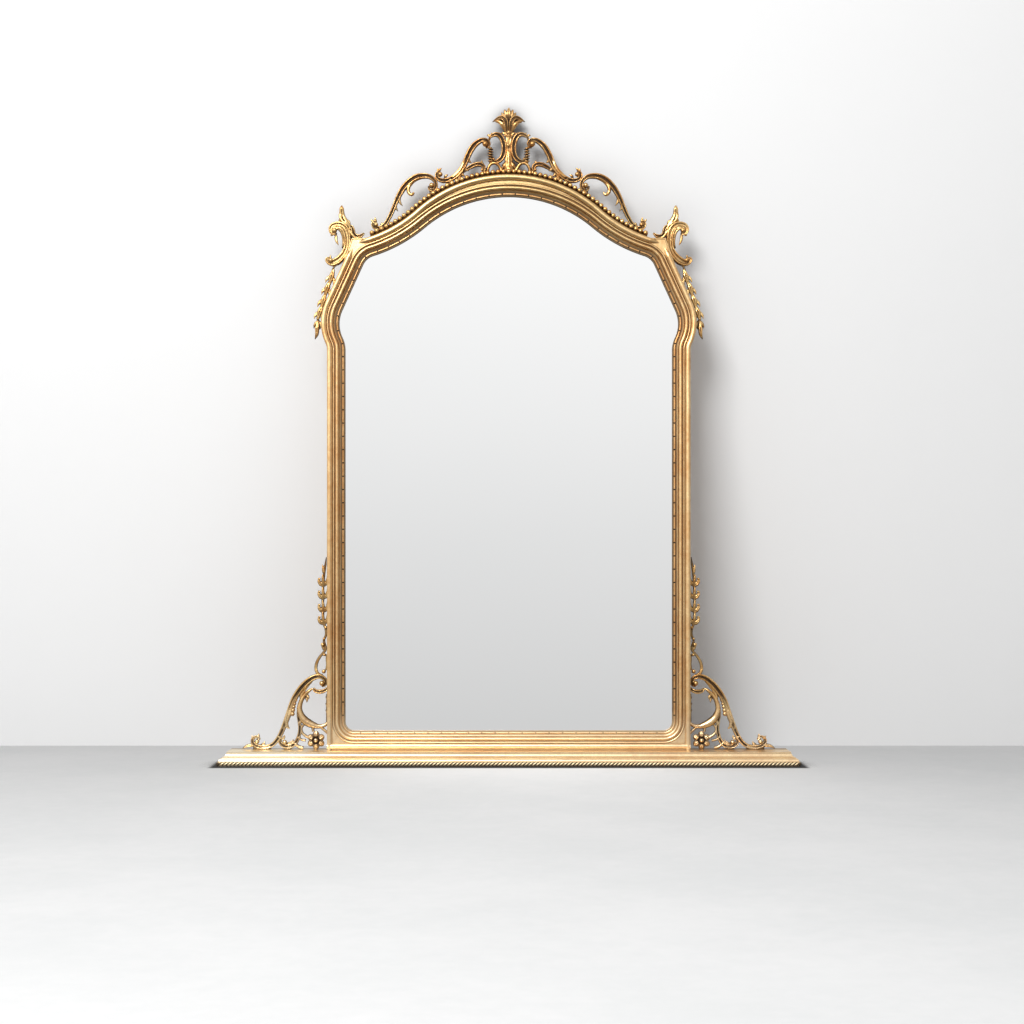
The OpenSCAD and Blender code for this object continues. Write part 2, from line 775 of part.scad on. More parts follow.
module plinth_board() {
  color(gilt) difference() {
    intersection() {
      translate([-plinth_l / 2 - 1, -back_y, 0]) rotate([90, 0, 90])
        linear_extrude(plinth_l + 2) plinth_edge(plinth_d);
      union() {
        for (s = [0, 1]) mirror([s, 0, 0])
          translate([plinth_l / 2, back_y + 1, 0]) rotate([90, 0, 0]) linear_extrude(plinth_d + 2)
            mirror([1, 0]) plinth_edge(plinth_l / 2 + 1);
      }
    }
    for (x = plinth_screw_x)
      translate([x, frame_y - plinth_screw_h, -1]) {
        cylinder(r = plinth_bore_r, h = plinth_bore_d + 1);
        cylinder(r = plinth_screw_r, h = plinth_h + 2);
      }
  }
}

module rope_moulding() {
  z = rope_r + 0.5;
  color(gilt) difference() {
    union() {
      translate([-core_half_l, rope_r - back_y, z]) rotate([0, 90, 0]) cylinder(r = rope_r, h = 2 * core_half_l);
      for (s = [-1, 1]) {
        translate([s * core_half_l, back_y, z]) rotate([90, 0, 0]) cylinder(r = rope_r, h = core_d);
        translate([s * core_half_l, rope_r - back_y, z]) sphere(rope_r);
      }
    }
    translate([-core_half_l, rope_r - back_y, -1]) cube([2 * core_half_l, core_d + 1, rope_band_h + 1]);
  }
}

// ---- Bead row on the arch ----

module bed_profile() {
  back_h = bead_h - bead_r - bead_back_gap - bead_back_t;
  translate([0, back_h]) square([bead_bed_t, bead_h + bead_bed_w / 2 - back_h]);
  translate([0, back_h]) square([bead_back_w, bead_back_t]);
}

bead_out = bead_bed_t + bead_r - bead_sink;
crown_beads = 2 * round(swell_a * PI / 180 * (swell_r + bead_out) / bead_pitch) + 1;
haunch_beads = round((swell_a - bead_end_a) * PI / 180 * (haunch_out_r - bead_out) / bead_pitch);

module bead(p) {
  translate([p.x, p.y, bead_h]) sphere(bead_r);
}

module bead_fillet() {
  color(gilt) right() {
    bend(swell_c, swell_r, 90 - swell_a, 90 + swell_a) bed_profile();
    both_sides() hollow_bend(haunch_c, haunch_out_r, 270 - swell_a, 270 - bead_end_a) bed_profile();
  }
}

module bead_row() {
  color(gilt) right() {
    for (i = [0:crown_beads - 1])
      bead(on_circle(swell_c, swell_r + bead_out, 90 + swell_a * (2 * (i + 0.5) / crown_beads - 1)));
    both_sides()
      for (i = [0:haunch_beads - 1])
        bead(on_circle(haunch_c, haunch_out_r - bead_out,
          270 - swell_a + (swell_a - bead_end_a) * (i + 0.5) / haunch_beads));
  }
}

// ---- Scrollwork: drawn in millimetres from a named point of the frame ----

// Everything inside the frame's outer edge, to seat ornament on the frame
module frame_block() {
  edge = half_outer();
  linear_extrude(far / 10) polygon(concat(edge, flipped(edge)));
}

// The drawings are at full size for this frame and grow with the part of it that they dress
module drawn_from(p, k) {
  translate([p.x, p.y, relief_h * (1 - k)]) scale(k) children();
}

module on_crown() {
  drawn_from([0, crown_top_z], crown_r / 295) children();
}

module on_ear() {
  drawn_from(ear, (ear_reach + ear_rise) / 131) children();
}

module on_foot() {
  drawn_from([outer_x, foot_z], (plinth_l / 2 - outer_x) / 242) children();
}

module above(z) {
  difference() {
    children();
    translate([-far / 2, z - far, -far / 2]) cube([far, far, far]);
  }
}

module below(z) {
  difference() {
    children();
    translate([-far / 2, z, -far / 2]) cube([far, far, far]);
  }
}

collar_z = 90;

module finial_form() {
  lobe([0, 126], 5, [0, 153], 3.6);
  both_sides() {
    lobe([1, 126], 4, [8, 149], 3.4);
    lobe([2, 124], 4, [14, 141], 3.2);
    leaf([3, 96], [14, 98], 4);
    scroll([[4, 98, 5], [7, 110, 7], [12, 122, 8], [22, 128, 5], [36, 124, 1.2]], 2);
    lobe([10, 122], 7, [16, 127], 5);
  }
  lobe([0, 90], 7, [0, 98], 8);
}

module spine_form() {
  scroll([[0, 94, 7], [0, 80, 5.5], [0, 64, 4.6], [0, 50, 6], [0, 36, 7], [0, 20, 7], [0, -6, 6.8]], 1, 7);
  both_sides() {
    lobe([4, 34], 4, [9, 6], 4.5);
    lobe([5, 32], 4, [16, 12], 4.2);
    lobe([5, 36], 3, [15, 24], 3.6);
    leaf([2, 62], [8, 44], 4);
  }
}

inner_c_line = [
  [42, 86, 2], [33, 94, 4], [23, 93, 5], [14, 84, 5.5], [10, 68, 5.5], [10, 53, 5.5],
  [14, 41, 5.5], [22, 33, 5], [32, 33, 4], [38, 40, 3]
];
small_leaf_line = [
  [102, 10, 2.4], [88, 18, 3.6], [74, 23, 4], [62, 24, 4.2], [54, 19, 4.5], [52, 6, 4.5], [52, -8, 4.5]
];

module crest_scroll_form() {
  scroll(inner_c_line, 2);
  scroll(small_leaf_line, 1);
  leaf([80, 21], [86, 27], 3.2);
  leaf([68, 24], [73, 31], 3.2);
  leaf([60, 24], [60, 32], 3);
  leaf([56, 20], [46, 18], 3.4);
  leaf([54, 12], [45, 8], 3);
  leaf([24, 34], [16, 26], 3.6);
  leaf([24, 34], [31, 25], 3.2);
  leaf([22, 34], [22, -4], 3.4);
}

inner_wing_line = [
  [55, 67, 2.5], [49, 69, 3.4], [48, 76, 4], [56, 80, 4.4], [69, 75, 5.6], [82, 63, 6.4], [89, 49, 6.6],
  [95, 33, 6.6], [102, 17, 7], [112, 4, 6.6], [126, -5, 5.6], [142, -9, 5.4], [156, -8, 5], [164, -1, 4.4],
  [164, 8, 4], [156, 13, 3.8], [148, 10, 3.4], [147, 3, 3]
];

module inner_wing_form() {
  scroll(inner_wing_line, 2);
  boss([55, 73], 4.6);
  boss([155, 3], 5.2);
  leaf([92, 40], [82, 30], 4.5);
  leaf([98, 26], [88, 14], 4.5);
  leaf([106, 12], [97, 3], 4.5);
  leaf([100, 20], [112, 18], 4);
  leaf([94, 36], [106, 34], 4);
  leaf([86, 56], [76, 50], 4);
  lobe([112, 4], 5.5, [114, -24], 5);
  lobe([132, -6], 5, [134, -38], 5);
}

module baluster_form() {
  rings = 6;
  ring_r = 3;
  reach = 4.4;
  height = 36;
  translate([41.5, 31, relief_h]) rotate([-90, 0, 0]) rotate_extrude() {
    square([reach, height]);
    for (i = [0:rings - 1])
      translate([reach, height * (i + 0.5) / rings]) intersection() {
        circle(ring_r);
        translate([-ring_r, -ring_r]) square([2 * ring_r, 2 * ring_r]);
      }
  }
}

outer_wing_line = [
  [183, -27, 3], [176, -33, 3.8], [167, -27, 4.2], [166, -15, 4.6], [174, -4, 5], [188, 1, 5.6],
  [203, 0, 6.4], [219, -6, 6.8], [234, -18, 6.8], [245, -33, 6.4], [253, -49, 5.8], [259, -65, 5],
  [266, -80, 4.4], [275, -96, 4], [285, -109, 4.2], [294, -117, 4.8], [304, -118, 4.8], [310, -112, 4.4],
  [307, -105, 3.8], [300, -105, 3]
];

module outer_wing_form() {
  scroll(outer_wing_line, 2);
  boss([175, -20], 5.4);
  boss([302, -112], 4.8);
  leaf([232, -19], [226, -26], 6);
  leaf([230, -22], [221, -41], 4.5);
  leaf([247, -38], [243, -48], 5.5);
  leaf([245, -46], [243, -69], 4);
  leaf([212, -4], [206, -14], 4.5);
  leaf([258, -62], [254, -84], 4);
  lobe([176, -34], 4.4, [176, -60], 4.4);
  lobe([290, -116], 4.6, [290, -142], 4.6);
}

ear_scroll_line = [
  [47, 14, 3], [49, 22, 3.8], [41, 29, 4.4], [30, 30, 4.8], [18, 24, 5.6], [10, 11, 6], [8, -4, 5.8],
  [9, -20, 5.4], [16, -35, 5.6], [27, -48, 6.2], [41, -56, 6.2], [53, -54, 5], [57, -47, 3.8], [51, -43, 2.6]
];

module ear_scroll_form() {
  scroll(ear_scroll_line, 2);
  boss([41, 15], 5.6);
  leaf([30, 22], [41, 8], 6);
  leaf([34, 12], [43, -2], 4.5);
  leaf([30, 14], [35, -5], 4.5);
  leaf([31, 8], [27, -18], 4.2);
  leaf([36, 18], [47, 8], 4);
  leaf([24, 22], [24, 8], 4);
  leaf([27, -48], [24, -38], 4);
  leaf([41, -56], [40, -46], 4);
}

module ear_pinnacle_form() {
  scroll([[22, 74, 1.6], [23, 66, 3.8], [24, 59, 3], [23, 50, 5.4], [19, 40, 7.4], [13, 27, 8]], 1);
  boss([22.5, 68], 4.2, 8);
  lobe([18, 44], 5, [11, 37], 4);
  lobe([21, 46], 4.5, [29, 40], 3.4);
  leaf([12, 28], [-3, 27], 6);
  leaf([8, 20], [-10, 14], 6);
  leaf([6, 12], [-16, 5], 6);
  leaf([-12, 5], [-28, 13], 4);
  leaf([8, 14], [-4, 4], 6);
  lobe([14, 26], 6, [8, 8], 5);
}

husk_line = [[38, -60, 3.4], [47, -84, 3.2], [57, -116, 3], [67, -146, 2.8], [74, -176, 2.6], [80, -204, 4.2], [85, -227, 1]];
husk_steps = [[44, -76], [54, -105], [63, -133], [71, -160]];

module husk_drop_form() {
  scroll(husk_line, 1);
  for (p = husk_steps) {
    leaf(p + [0, 4], p + [15, -20], 4.6);
    leaf(p + [0, 4], p + [-1, -29], 4.6);
  }
}

bracket_line = [
  [12, 141, 2.6], [7, 149, 3.4], [9, 160, 4], [18, 168, 4.6], [32, 167, 5.4], [48, 157, 6.4], [62, 141, 6.8],
  [74, 123, 6.8], [83, 102, 6.6], [91, 81, 6.6], [101, 58, 6.2], [110, 38, 5.8], [121, 21, 5.4],
  [137, 12, 5.2], [153, 10, 5], [167, 14, 4.4], [173, 22, 4], [168, 30, 3.6], [160, 27, 3]
];

module bracket_scroll_form() {
  scroll(bracket_line, 2);
  boss([13, 152], 4.6);
  boss([163, 19], 4.6);
  leaf([88, 84], [95, 48], 5);
  leaf([92, 76], [91, 56], 4.5);
  leaf([152, 7], [195, 6], 4.6);
  leaf([160, 8], [182, 14], 4);
  leaf([124, 16], [140, 26], 4);
  leaf([68, 133], [58, 127], 4.5);
  leaf([40, 163], [34, 155], 4.5);
  lobe([137, 10], 5, [137, 4], 6);
  lobe([158, 8], 5, [158, 4], 6);
}

ring_line = [
  [2, 129, 3], [20, 133, 3.4], [36, 132, 4], [50, 124, 5], [60, 111, 5.6], [64, 97, 6.2], [62, 81, 7.2],
  [53, 66, 7.4], [40, 55, 6.4], [27, 51, 5.4], [14, 53, 4.4], [2, 59, 4]
];
stem_line = [
  [66, 84, 4.6], [67, 63, 4.6], [67, 43, 4.4], [70, 26, 4.6], [79, 13, 5.2], [93, 10, 6], [106, 15, 5],
  [108, 23, 4], [100, 26, 3]
];

module wreath_form() {
  scroll(ring_line, 2);
  scroll(stem_line, 2);
  boss([100, 19], 4.4);
  leaf([58, 76], [42, 74], 5);
  leaf([46, 62], [30, 64], 5);
  leaf([62, 96], [50, 100], 4.5);
  leaf([60, 84], [72, 70], 5);
  lobe([44, 56], 4.5, [40, 40], 3.4);
  lobe([24, 52], 4.5, [22, 38], 3.2);
  lobe([66, 34], 4, [50, 22], 3);
  lobe([74, 18], 4, [60, 3], 3.4);
  leaf([12, 54], [2, 44], 4);
  lobe([86, 10], 5, [86, 4], 6);
}

bracket_bead_spots = [[71, 117, 3.6], [74, 110, 4], [76.5, 102, 4.4], [79, 93.5, 4.8], [80.5, 84, 5.4]];

module bracket_beads_form(spots = bracket_bead_spots) {
  for (s = spots) translate([s.x, s.y, relief_h]) sphere(s[2]);
}

rosette_mid = [30, 20];
rosette_petals = 7;

module rosette_form() {
  for (i = [0:rosette_petals - 1])
    let (d = [sin(360 * i / rosette_petals), -cos(360 * i / rosette_petals)])
    lobe(rosette_mid + 7 * d, 4, rosette_mid + 14.5 * d, 5.6);
  lobe(rosette_mid, 6, rosette_mid + [0.5, 0.5], 6);
  boss(rosette_mid, 8.5);
}

rising_line = [
  [0, 262, 4], [8, 284, 4], [12, 306, 4], [12, 330, 4], [12, 362, 3.6], [10, 396, 3.4], [5, 424, 3], [4, 438, 1]
];
loop_line = [
  [8, 184, 3], [12, 173, 3.4], [22, 178, 3.8], [25, 193, 4], [21, 209, 4], [13, 221, 3.8], [8, 230, 4],
  [13, 239, 4], [8, 247, 3.8], [3, 262, 4]
];
rising_steps = [296, 322, 350, 378];

module rising_husk_form() {
  scroll(rising_line, 1);
  scroll(loop_line, 1);
  for (z = rising_steps) {
    leaf([12, z], [22, z + 20], 4.6);
    leaf([10, z], [0, z + 22], 4.6);
  }
  boss([6, 182], 4.6);
}

// Seats: what is set on the frame or on a neighbour is cut to it
module seated_on_frame() {
  difference() {
    children();
    frame_block();
  }
}

module seated_on_foot() {
  difference() {
    children();
    translate([outer_x - far, foot_z - far, -far / 2]) cube([far, 4 * far, far]);
    translate([0, foot_z - far, -far / 2]) cube([2 * far, far, far]);
  }
}

module crest_scroll_set() {
  seated_on_frame() on_crown() difference() {
    crest_scroll_form();
    spine_form();
    inner_wing_form();
  }
}

module inner_wing_set() {
  seated_on_frame() on_crown() difference() {
    inner_wing_form();
    outer_wing_form();
  }
}

module pinnacle_set() {
  seated_on_frame() on_ear() difference() {
    ear_pinnacle_form();
    ear_scroll_form();
  }
}

module husk_set() {
  seated_on_frame() on_ear() difference() {
    husk_drop_form();
    ear_scroll_form();
  }
}

module bracket_set() {
  seated_on_foot() on_foot() bracket_scroll_form();
}

module wreath_set() {
  seated_on_foot() on_foot() difference() {
    wreath_form();
    bracket_scroll_form();
    rosette_form();
  }
}

module rising_set() {
  seated_on_foot() on_foot() difference() {
    rising_husk_form();
    bracket_scroll_form();
  }
}

module crest_finial() { color(gilt) right() on_crown() above(collar_z) finial_form(); }
module crest_spine() { color(gilt) right() seated_on_frame() on_crown() below(collar_z) spine_form(); }
module left_crest_scroll() { color(gilt) left() crest_scroll_set(); }
module right_crest_scroll() { color(gilt) right() crest_scroll_set(); }
module left_crest_baluster() { color(gilt) left() on_crown() baluster_form(); }
module right_crest_baluster() { color(gilt) right() on_crown() baluster_form(); }
module left_inner_wing() { color(gilt) left() inner_wing_set(); }
module right_inner_wing() { color(gilt) right() inner_wing_set(); }
module left_outer_wing() { color(gilt) left() seated_on_frame() on_crown() outer_wing_form(); }
module right_outer_wing() { color(gilt) right() seated_on_frame() on_crown() outer_wing_form(); }
module left_ear_scroll() { color(gilt) left() seated_on_frame() on_ear() ear_scroll_form(); }
module right_ear_scroll() { color(gilt) right() seated_on_frame() on_ear() ear_scroll_form(); }
module left_ear_pinnacle() { color(gilt) left() pinnacle_set(); }
module right_ear_pinnacle() { color(gilt) right() pinnacle_set(); }
module left_husk_drop() { color(gilt) left() husk_set(); }
module right_husk_drop() { color(gilt) right() husk_set(); }
module left_bracket_scroll() { color(gilt) left() bracket_set(); }
module right_bracket_scroll() { color(gilt) right() bracket_set(); }
module left_bracket_wreath() { color(gilt) left() wreath_set(); }
module right_bracket_wreath() { color(gilt) right() wreath_set(); }
module left_bracket_beads() { color(gilt) left() on_foot() bracket_beads_form(); }
module right_bracket_beads() { color(gilt) right() on_foot() bracket_beads_form(); }
module left_rosette() { color(gilt) left() seated_on_foot() on_foot() rosette_form(); }
module right_rosette() { color(gilt) right() seated_on_foot() on_foot() rosette_form(); }
module left_rising_husk() { color(gilt) left() rising_set(); }
module right_rising_husk() { color(gilt) right() rising_set(); }

plinth_board();
rope_moulding();
bottom_rail();
left_stile();
right_stile();
left_neck();
right_neck();
left_knee();
right_knee();
left_shoulder();
right_shoulder();
left_ear_block();
right_ear_block();
left_haunch();
right_haunch();
arch_crown();
rail_trim();
left_side_trim();
right_side_trim();
arch_trim();
mirror_glass();
backboard();
turn_buttons();
turn_button_screws();
plinth_screws();
frame_dowels();
left_hanger_strap();
right_hanger_strap();
left_hanging_ring();
right_hanging_ring();
hanger_screws();
bead_fillet();
bead_row();
crest_finial();
crest_spine();
left_crest_scroll();
right_crest_scroll();
left_crest_baluster();
right_crest_baluster();
left_inner_wing();
right_inner_wing();
left_outer_wing();
right_outer_wing();
left_ear_scroll();
right_ear_scroll();
left_ear_pinnacle();
right_ear_pinnacle();
left_husk_drop();
right_husk_drop();
left_bracket_scroll();
right_bracket_scroll();
left_bracket_wreath();
right_bracket_wreath();
left_bracket_beads();
right_bracket_beads();
left_rosette();
right_rosette();
left_rising_husk();
right_rising_husk();
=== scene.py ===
"""Looks of an overmantel mirror: an arched gilt frame with composition ornament, on a stepped plinth.

The front looks along -Y, +X is the viewer's right and +Z is up. Carvings are drawn in millimetres on the
face of the frame and become metres when they are set in place.
"""
import logging
import math
from dataclasses import dataclass
from enum import Enum
from typing import Any, ClassVar, Sequence

import bmesh
import bpy
from mathutils import Matrix, Vector

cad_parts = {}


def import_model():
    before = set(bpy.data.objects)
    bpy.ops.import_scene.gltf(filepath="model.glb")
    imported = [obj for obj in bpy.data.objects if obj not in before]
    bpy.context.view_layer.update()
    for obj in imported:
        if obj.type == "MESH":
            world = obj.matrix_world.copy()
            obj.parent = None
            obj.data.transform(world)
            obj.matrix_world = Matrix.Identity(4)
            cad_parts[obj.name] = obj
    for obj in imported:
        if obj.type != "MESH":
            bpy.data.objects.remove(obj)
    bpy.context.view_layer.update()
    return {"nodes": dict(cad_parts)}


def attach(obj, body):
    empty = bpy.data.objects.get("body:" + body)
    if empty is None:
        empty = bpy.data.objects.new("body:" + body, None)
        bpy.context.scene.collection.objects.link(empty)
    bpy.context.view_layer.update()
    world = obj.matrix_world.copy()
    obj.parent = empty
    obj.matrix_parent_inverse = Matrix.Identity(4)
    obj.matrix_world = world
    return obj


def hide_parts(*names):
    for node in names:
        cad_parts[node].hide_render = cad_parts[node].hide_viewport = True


LOG = logging.getLogger("overmantel")
MM = 0.001
Colour = tuple[float, float, float, float]
Stroke = Sequence[tuple[float, ...]]


def srgb(red: int, green: int, blue: int) -> Colour:
    """Turns a screen colour into a linear one.

    Args:
        red: Red from 0 to 255.
        green: Green from 0 to 255.
        blue: Blue from 0 to 255.

    Returns:
        The linear colour with full alpha.
    """
    def linear(level: int) -> float:
        """Linear share of one screen level."""
        share = level / 255
        return share / 12.92 if share <= 0.04045 else ((share + 0.055) / 1.055) ** 2.4

    return (linear(red), linear(green), linear(blue), 1.0)


# ---- Shader expressions ----


class Wire:
    """A number or colour that flows out of a shader node."""

    def __init__(self, tree: "Tree", socket: bpy.types.NodeSocket) -> None:
        """Keeps the tree and the socket."""
        self.tree = tree
        self.socket = socket

    def _math(self, operation: str, first: Any, second: Any = 0.0) -> "Wire":
        """Adds one Math node."""
        return self.tree.node("ShaderNodeMath", {"operation": operation}, {0: first, 1: second})

    def __add__(self, other: Any) -> "Wire":
        """Sum."""
        return self._math("ADD", self, other)

    def __radd__(self, other: Any) -> "Wire":
        """Sum with a number in front."""
        return self._math("ADD", other, self)

    def __sub__(self, other: Any) -> "Wire":
        """Difference."""
        return self._math("SUBTRACT", self, other)

    def __rsub__(self, other: Any) -> "Wire":
        """Difference with a number in front."""
        return self._math("SUBTRACT", other, self)

    def __mul__(self, other: Any) -> "Wire":
        """Product."""
        return self._math("MULTIPLY", self, other)

    def __rmul__(self, other: Any) -> "Wire":
        """Product with a number in front."""
        return self._math("MULTIPLY", other, self)

    def above(self, edge: float, softness: float) -> "Wire":
        """A mask that rises from 0 to 1 across an edge.

        Args:
            edge: The value at the middle of the rise.
            softness: Width of the rise.

        Returns:
            The mask.
        """
        settings = {"interpolation_type": "SMOOTHSTEP", "clamp": True}
        inputs = {0: self, 1: edge - softness / 2, 2: edge + softness / 2}
        return self.tree.node("ShaderNodeMapRange", settings, inputs)


class Tree:
    """Adds nodes to one node tree."""

    def __init__(self, tree: bpy.types.NodeTree) -> None:
        """Keeps the node tree."""
        self.tree = tree

    def node(self, kind: str, settings: dict[str, Any], inputs: dict[Any, Any], output: Any = 0) -> Wire:
        """Adds a node.

        Args:
            kind: The node's type.
            settings: The node's own settings, set first; "stops" fills a colour ramp.
            inputs: Values or wires by the socket's name or number.
            output: Name or number of the socket that is returned.

        Returns:
            The wire from that socket.
        """
        made = self.tree.nodes.new(kind)
        for key, value in settings.items():
            if key == "stops":
                self._fill_ramp(made, value)
            else:
                setattr(made, key, value)
        for key, value in inputs.items():
            if isinstance(value, Wire):
                self.tree.links.new(value.socket, made.inputs[key])
            else:
                made.inputs[key].default_value = value
        return Wire(self, made.outputs[output])

    @staticmethod
    def _fill_ramp(ramp: bpy.types.Node, stops: Sequence[tuple[float, Colour]]) -> None:
        """Puts stops on a colour ramp.

        Args:
            ramp: The ramp's node.
            stops: Position and colour of each stop.
        """
        elements = ramp.color_ramp.elements
        while len(elements) < len(stops):
            elements.new(1.0)
        for element, (position, colour) in zip(elements, stops):
            element.position = position
            element.color = colour

    def axis(self, place: Wire, letter: str) -> Wire:
        """One coordinate of a place."""
        return self.node("ShaderNodeSeparateXYZ", {}, {0: place}, letter)

    def mix(self, share: Any, first: Any, second: Any) -> Wire:
        """Mixes two colours.

        Args:
            share: Share of the second colour, from 0 to 1.
            first: The first colour.
            second: The second colour.

        Returns:
            The mixed colour.
        """
        made = self.tree.nodes.new("ShaderNodeMix")
        made.data_type = "RGBA"
        sockets = (made.inputs[0], made.inputs[6], made.inputs[7])
        for socket, value in zip(sockets, (share, first, second)):
            if isinstance(value, Wire):
                self.tree.links.new(value.socket, socket)
            else:
                socket.default_value = value
        return Wire(self, made.outputs[2])

    def blend(self, share: Wire, first: Wire, second: Wire, output: bpy.types.Node) -> None:
        """Shows two shaders by a share from 0 to 1."""
        made = self.node("ShaderNodeMixShader", {}, {0: share, 1: first, 2: second})
        self.tree.links.new(made.socket, output.inputs[0])


class Paint(Tree):
    """Builds the node tree of one material."""

    def __init__(self, name: str) -> None:
        """Starts a material that holds one Principled shader.

        Args:
            name: The material's name.
        """
        self.material = bpy.data.materials.new(name)
        self.material.use_nodes = True
        super().__init__(self.material.node_tree)
        self.shader = self.tree.nodes["Principled BSDF"]

    def place(self) -> Wire:
        """Place of the shaded point on the piece, in metres."""
        return self.node("ShaderNodeTexCoord", {}, {}, "Object")

    def stretched(self, place: Wire, scale: tuple[float, float, float]) -> Wire:
        """A place scaled by axis, so that a pattern runs along the others."""
        return self.node("ShaderNodeMapping", {}, {"Vector": place, "Scale": scale})

    def noise(self, place: Wire, scale: float, detail: float = 4.0, roughness: float = 0.55) -> Wire:
        """Cloudy noise.

        Args:
            place: Where the pattern is read.
            scale: Clouds to the metre.
            detail: Number of finer layers.
            roughness: Strength of the finer layers.

        Returns:
            Noise about 0.5.
        """
        inputs = {"Vector": place, "Scale": scale, "Detail": detail, "Roughness": roughness}
        return self.node("ShaderNodeTexNoise", {}, inputs, "Fac")

    def crevices(self, reach: float, local: bool = True) -> Wire:
        """Share of the open space in front of a point: 1 on open faces and less in hollows.

        Args:
            reach: How far the space is looked at, in metres.
            local: Whether only the piece itself counts.

        Returns:
            The share.
        """
        settings = {"samples": 6, "only_local": local}
        return self.node("ShaderNodeAmbientOcclusion", settings, {"Distance": reach}, "AO")

    def bump(self, height: Wire, strength: float, depth: float) -> Wire:
        """Normal of a surface that is raised by a height pattern."""
        return self.node("ShaderNodeBump", {}, {"Strength": strength, "Distance": depth, "Height": height})

    def dress(self, **sockets: Any) -> bpy.types.Material:
        """Sets or links the shader's sockets.

        Args:
            **sockets: Values or wires by the socket's name, with _ for a space.

        Returns:
            The material.
        """
        for key, value in sockets.items():
            socket = self.shader.inputs[key.replace("_", " ")]
            if isinstance(value, Wire):
                self.tree.links.new(value.socket, socket)
            else:
                socket.default_value = value
        return self.material


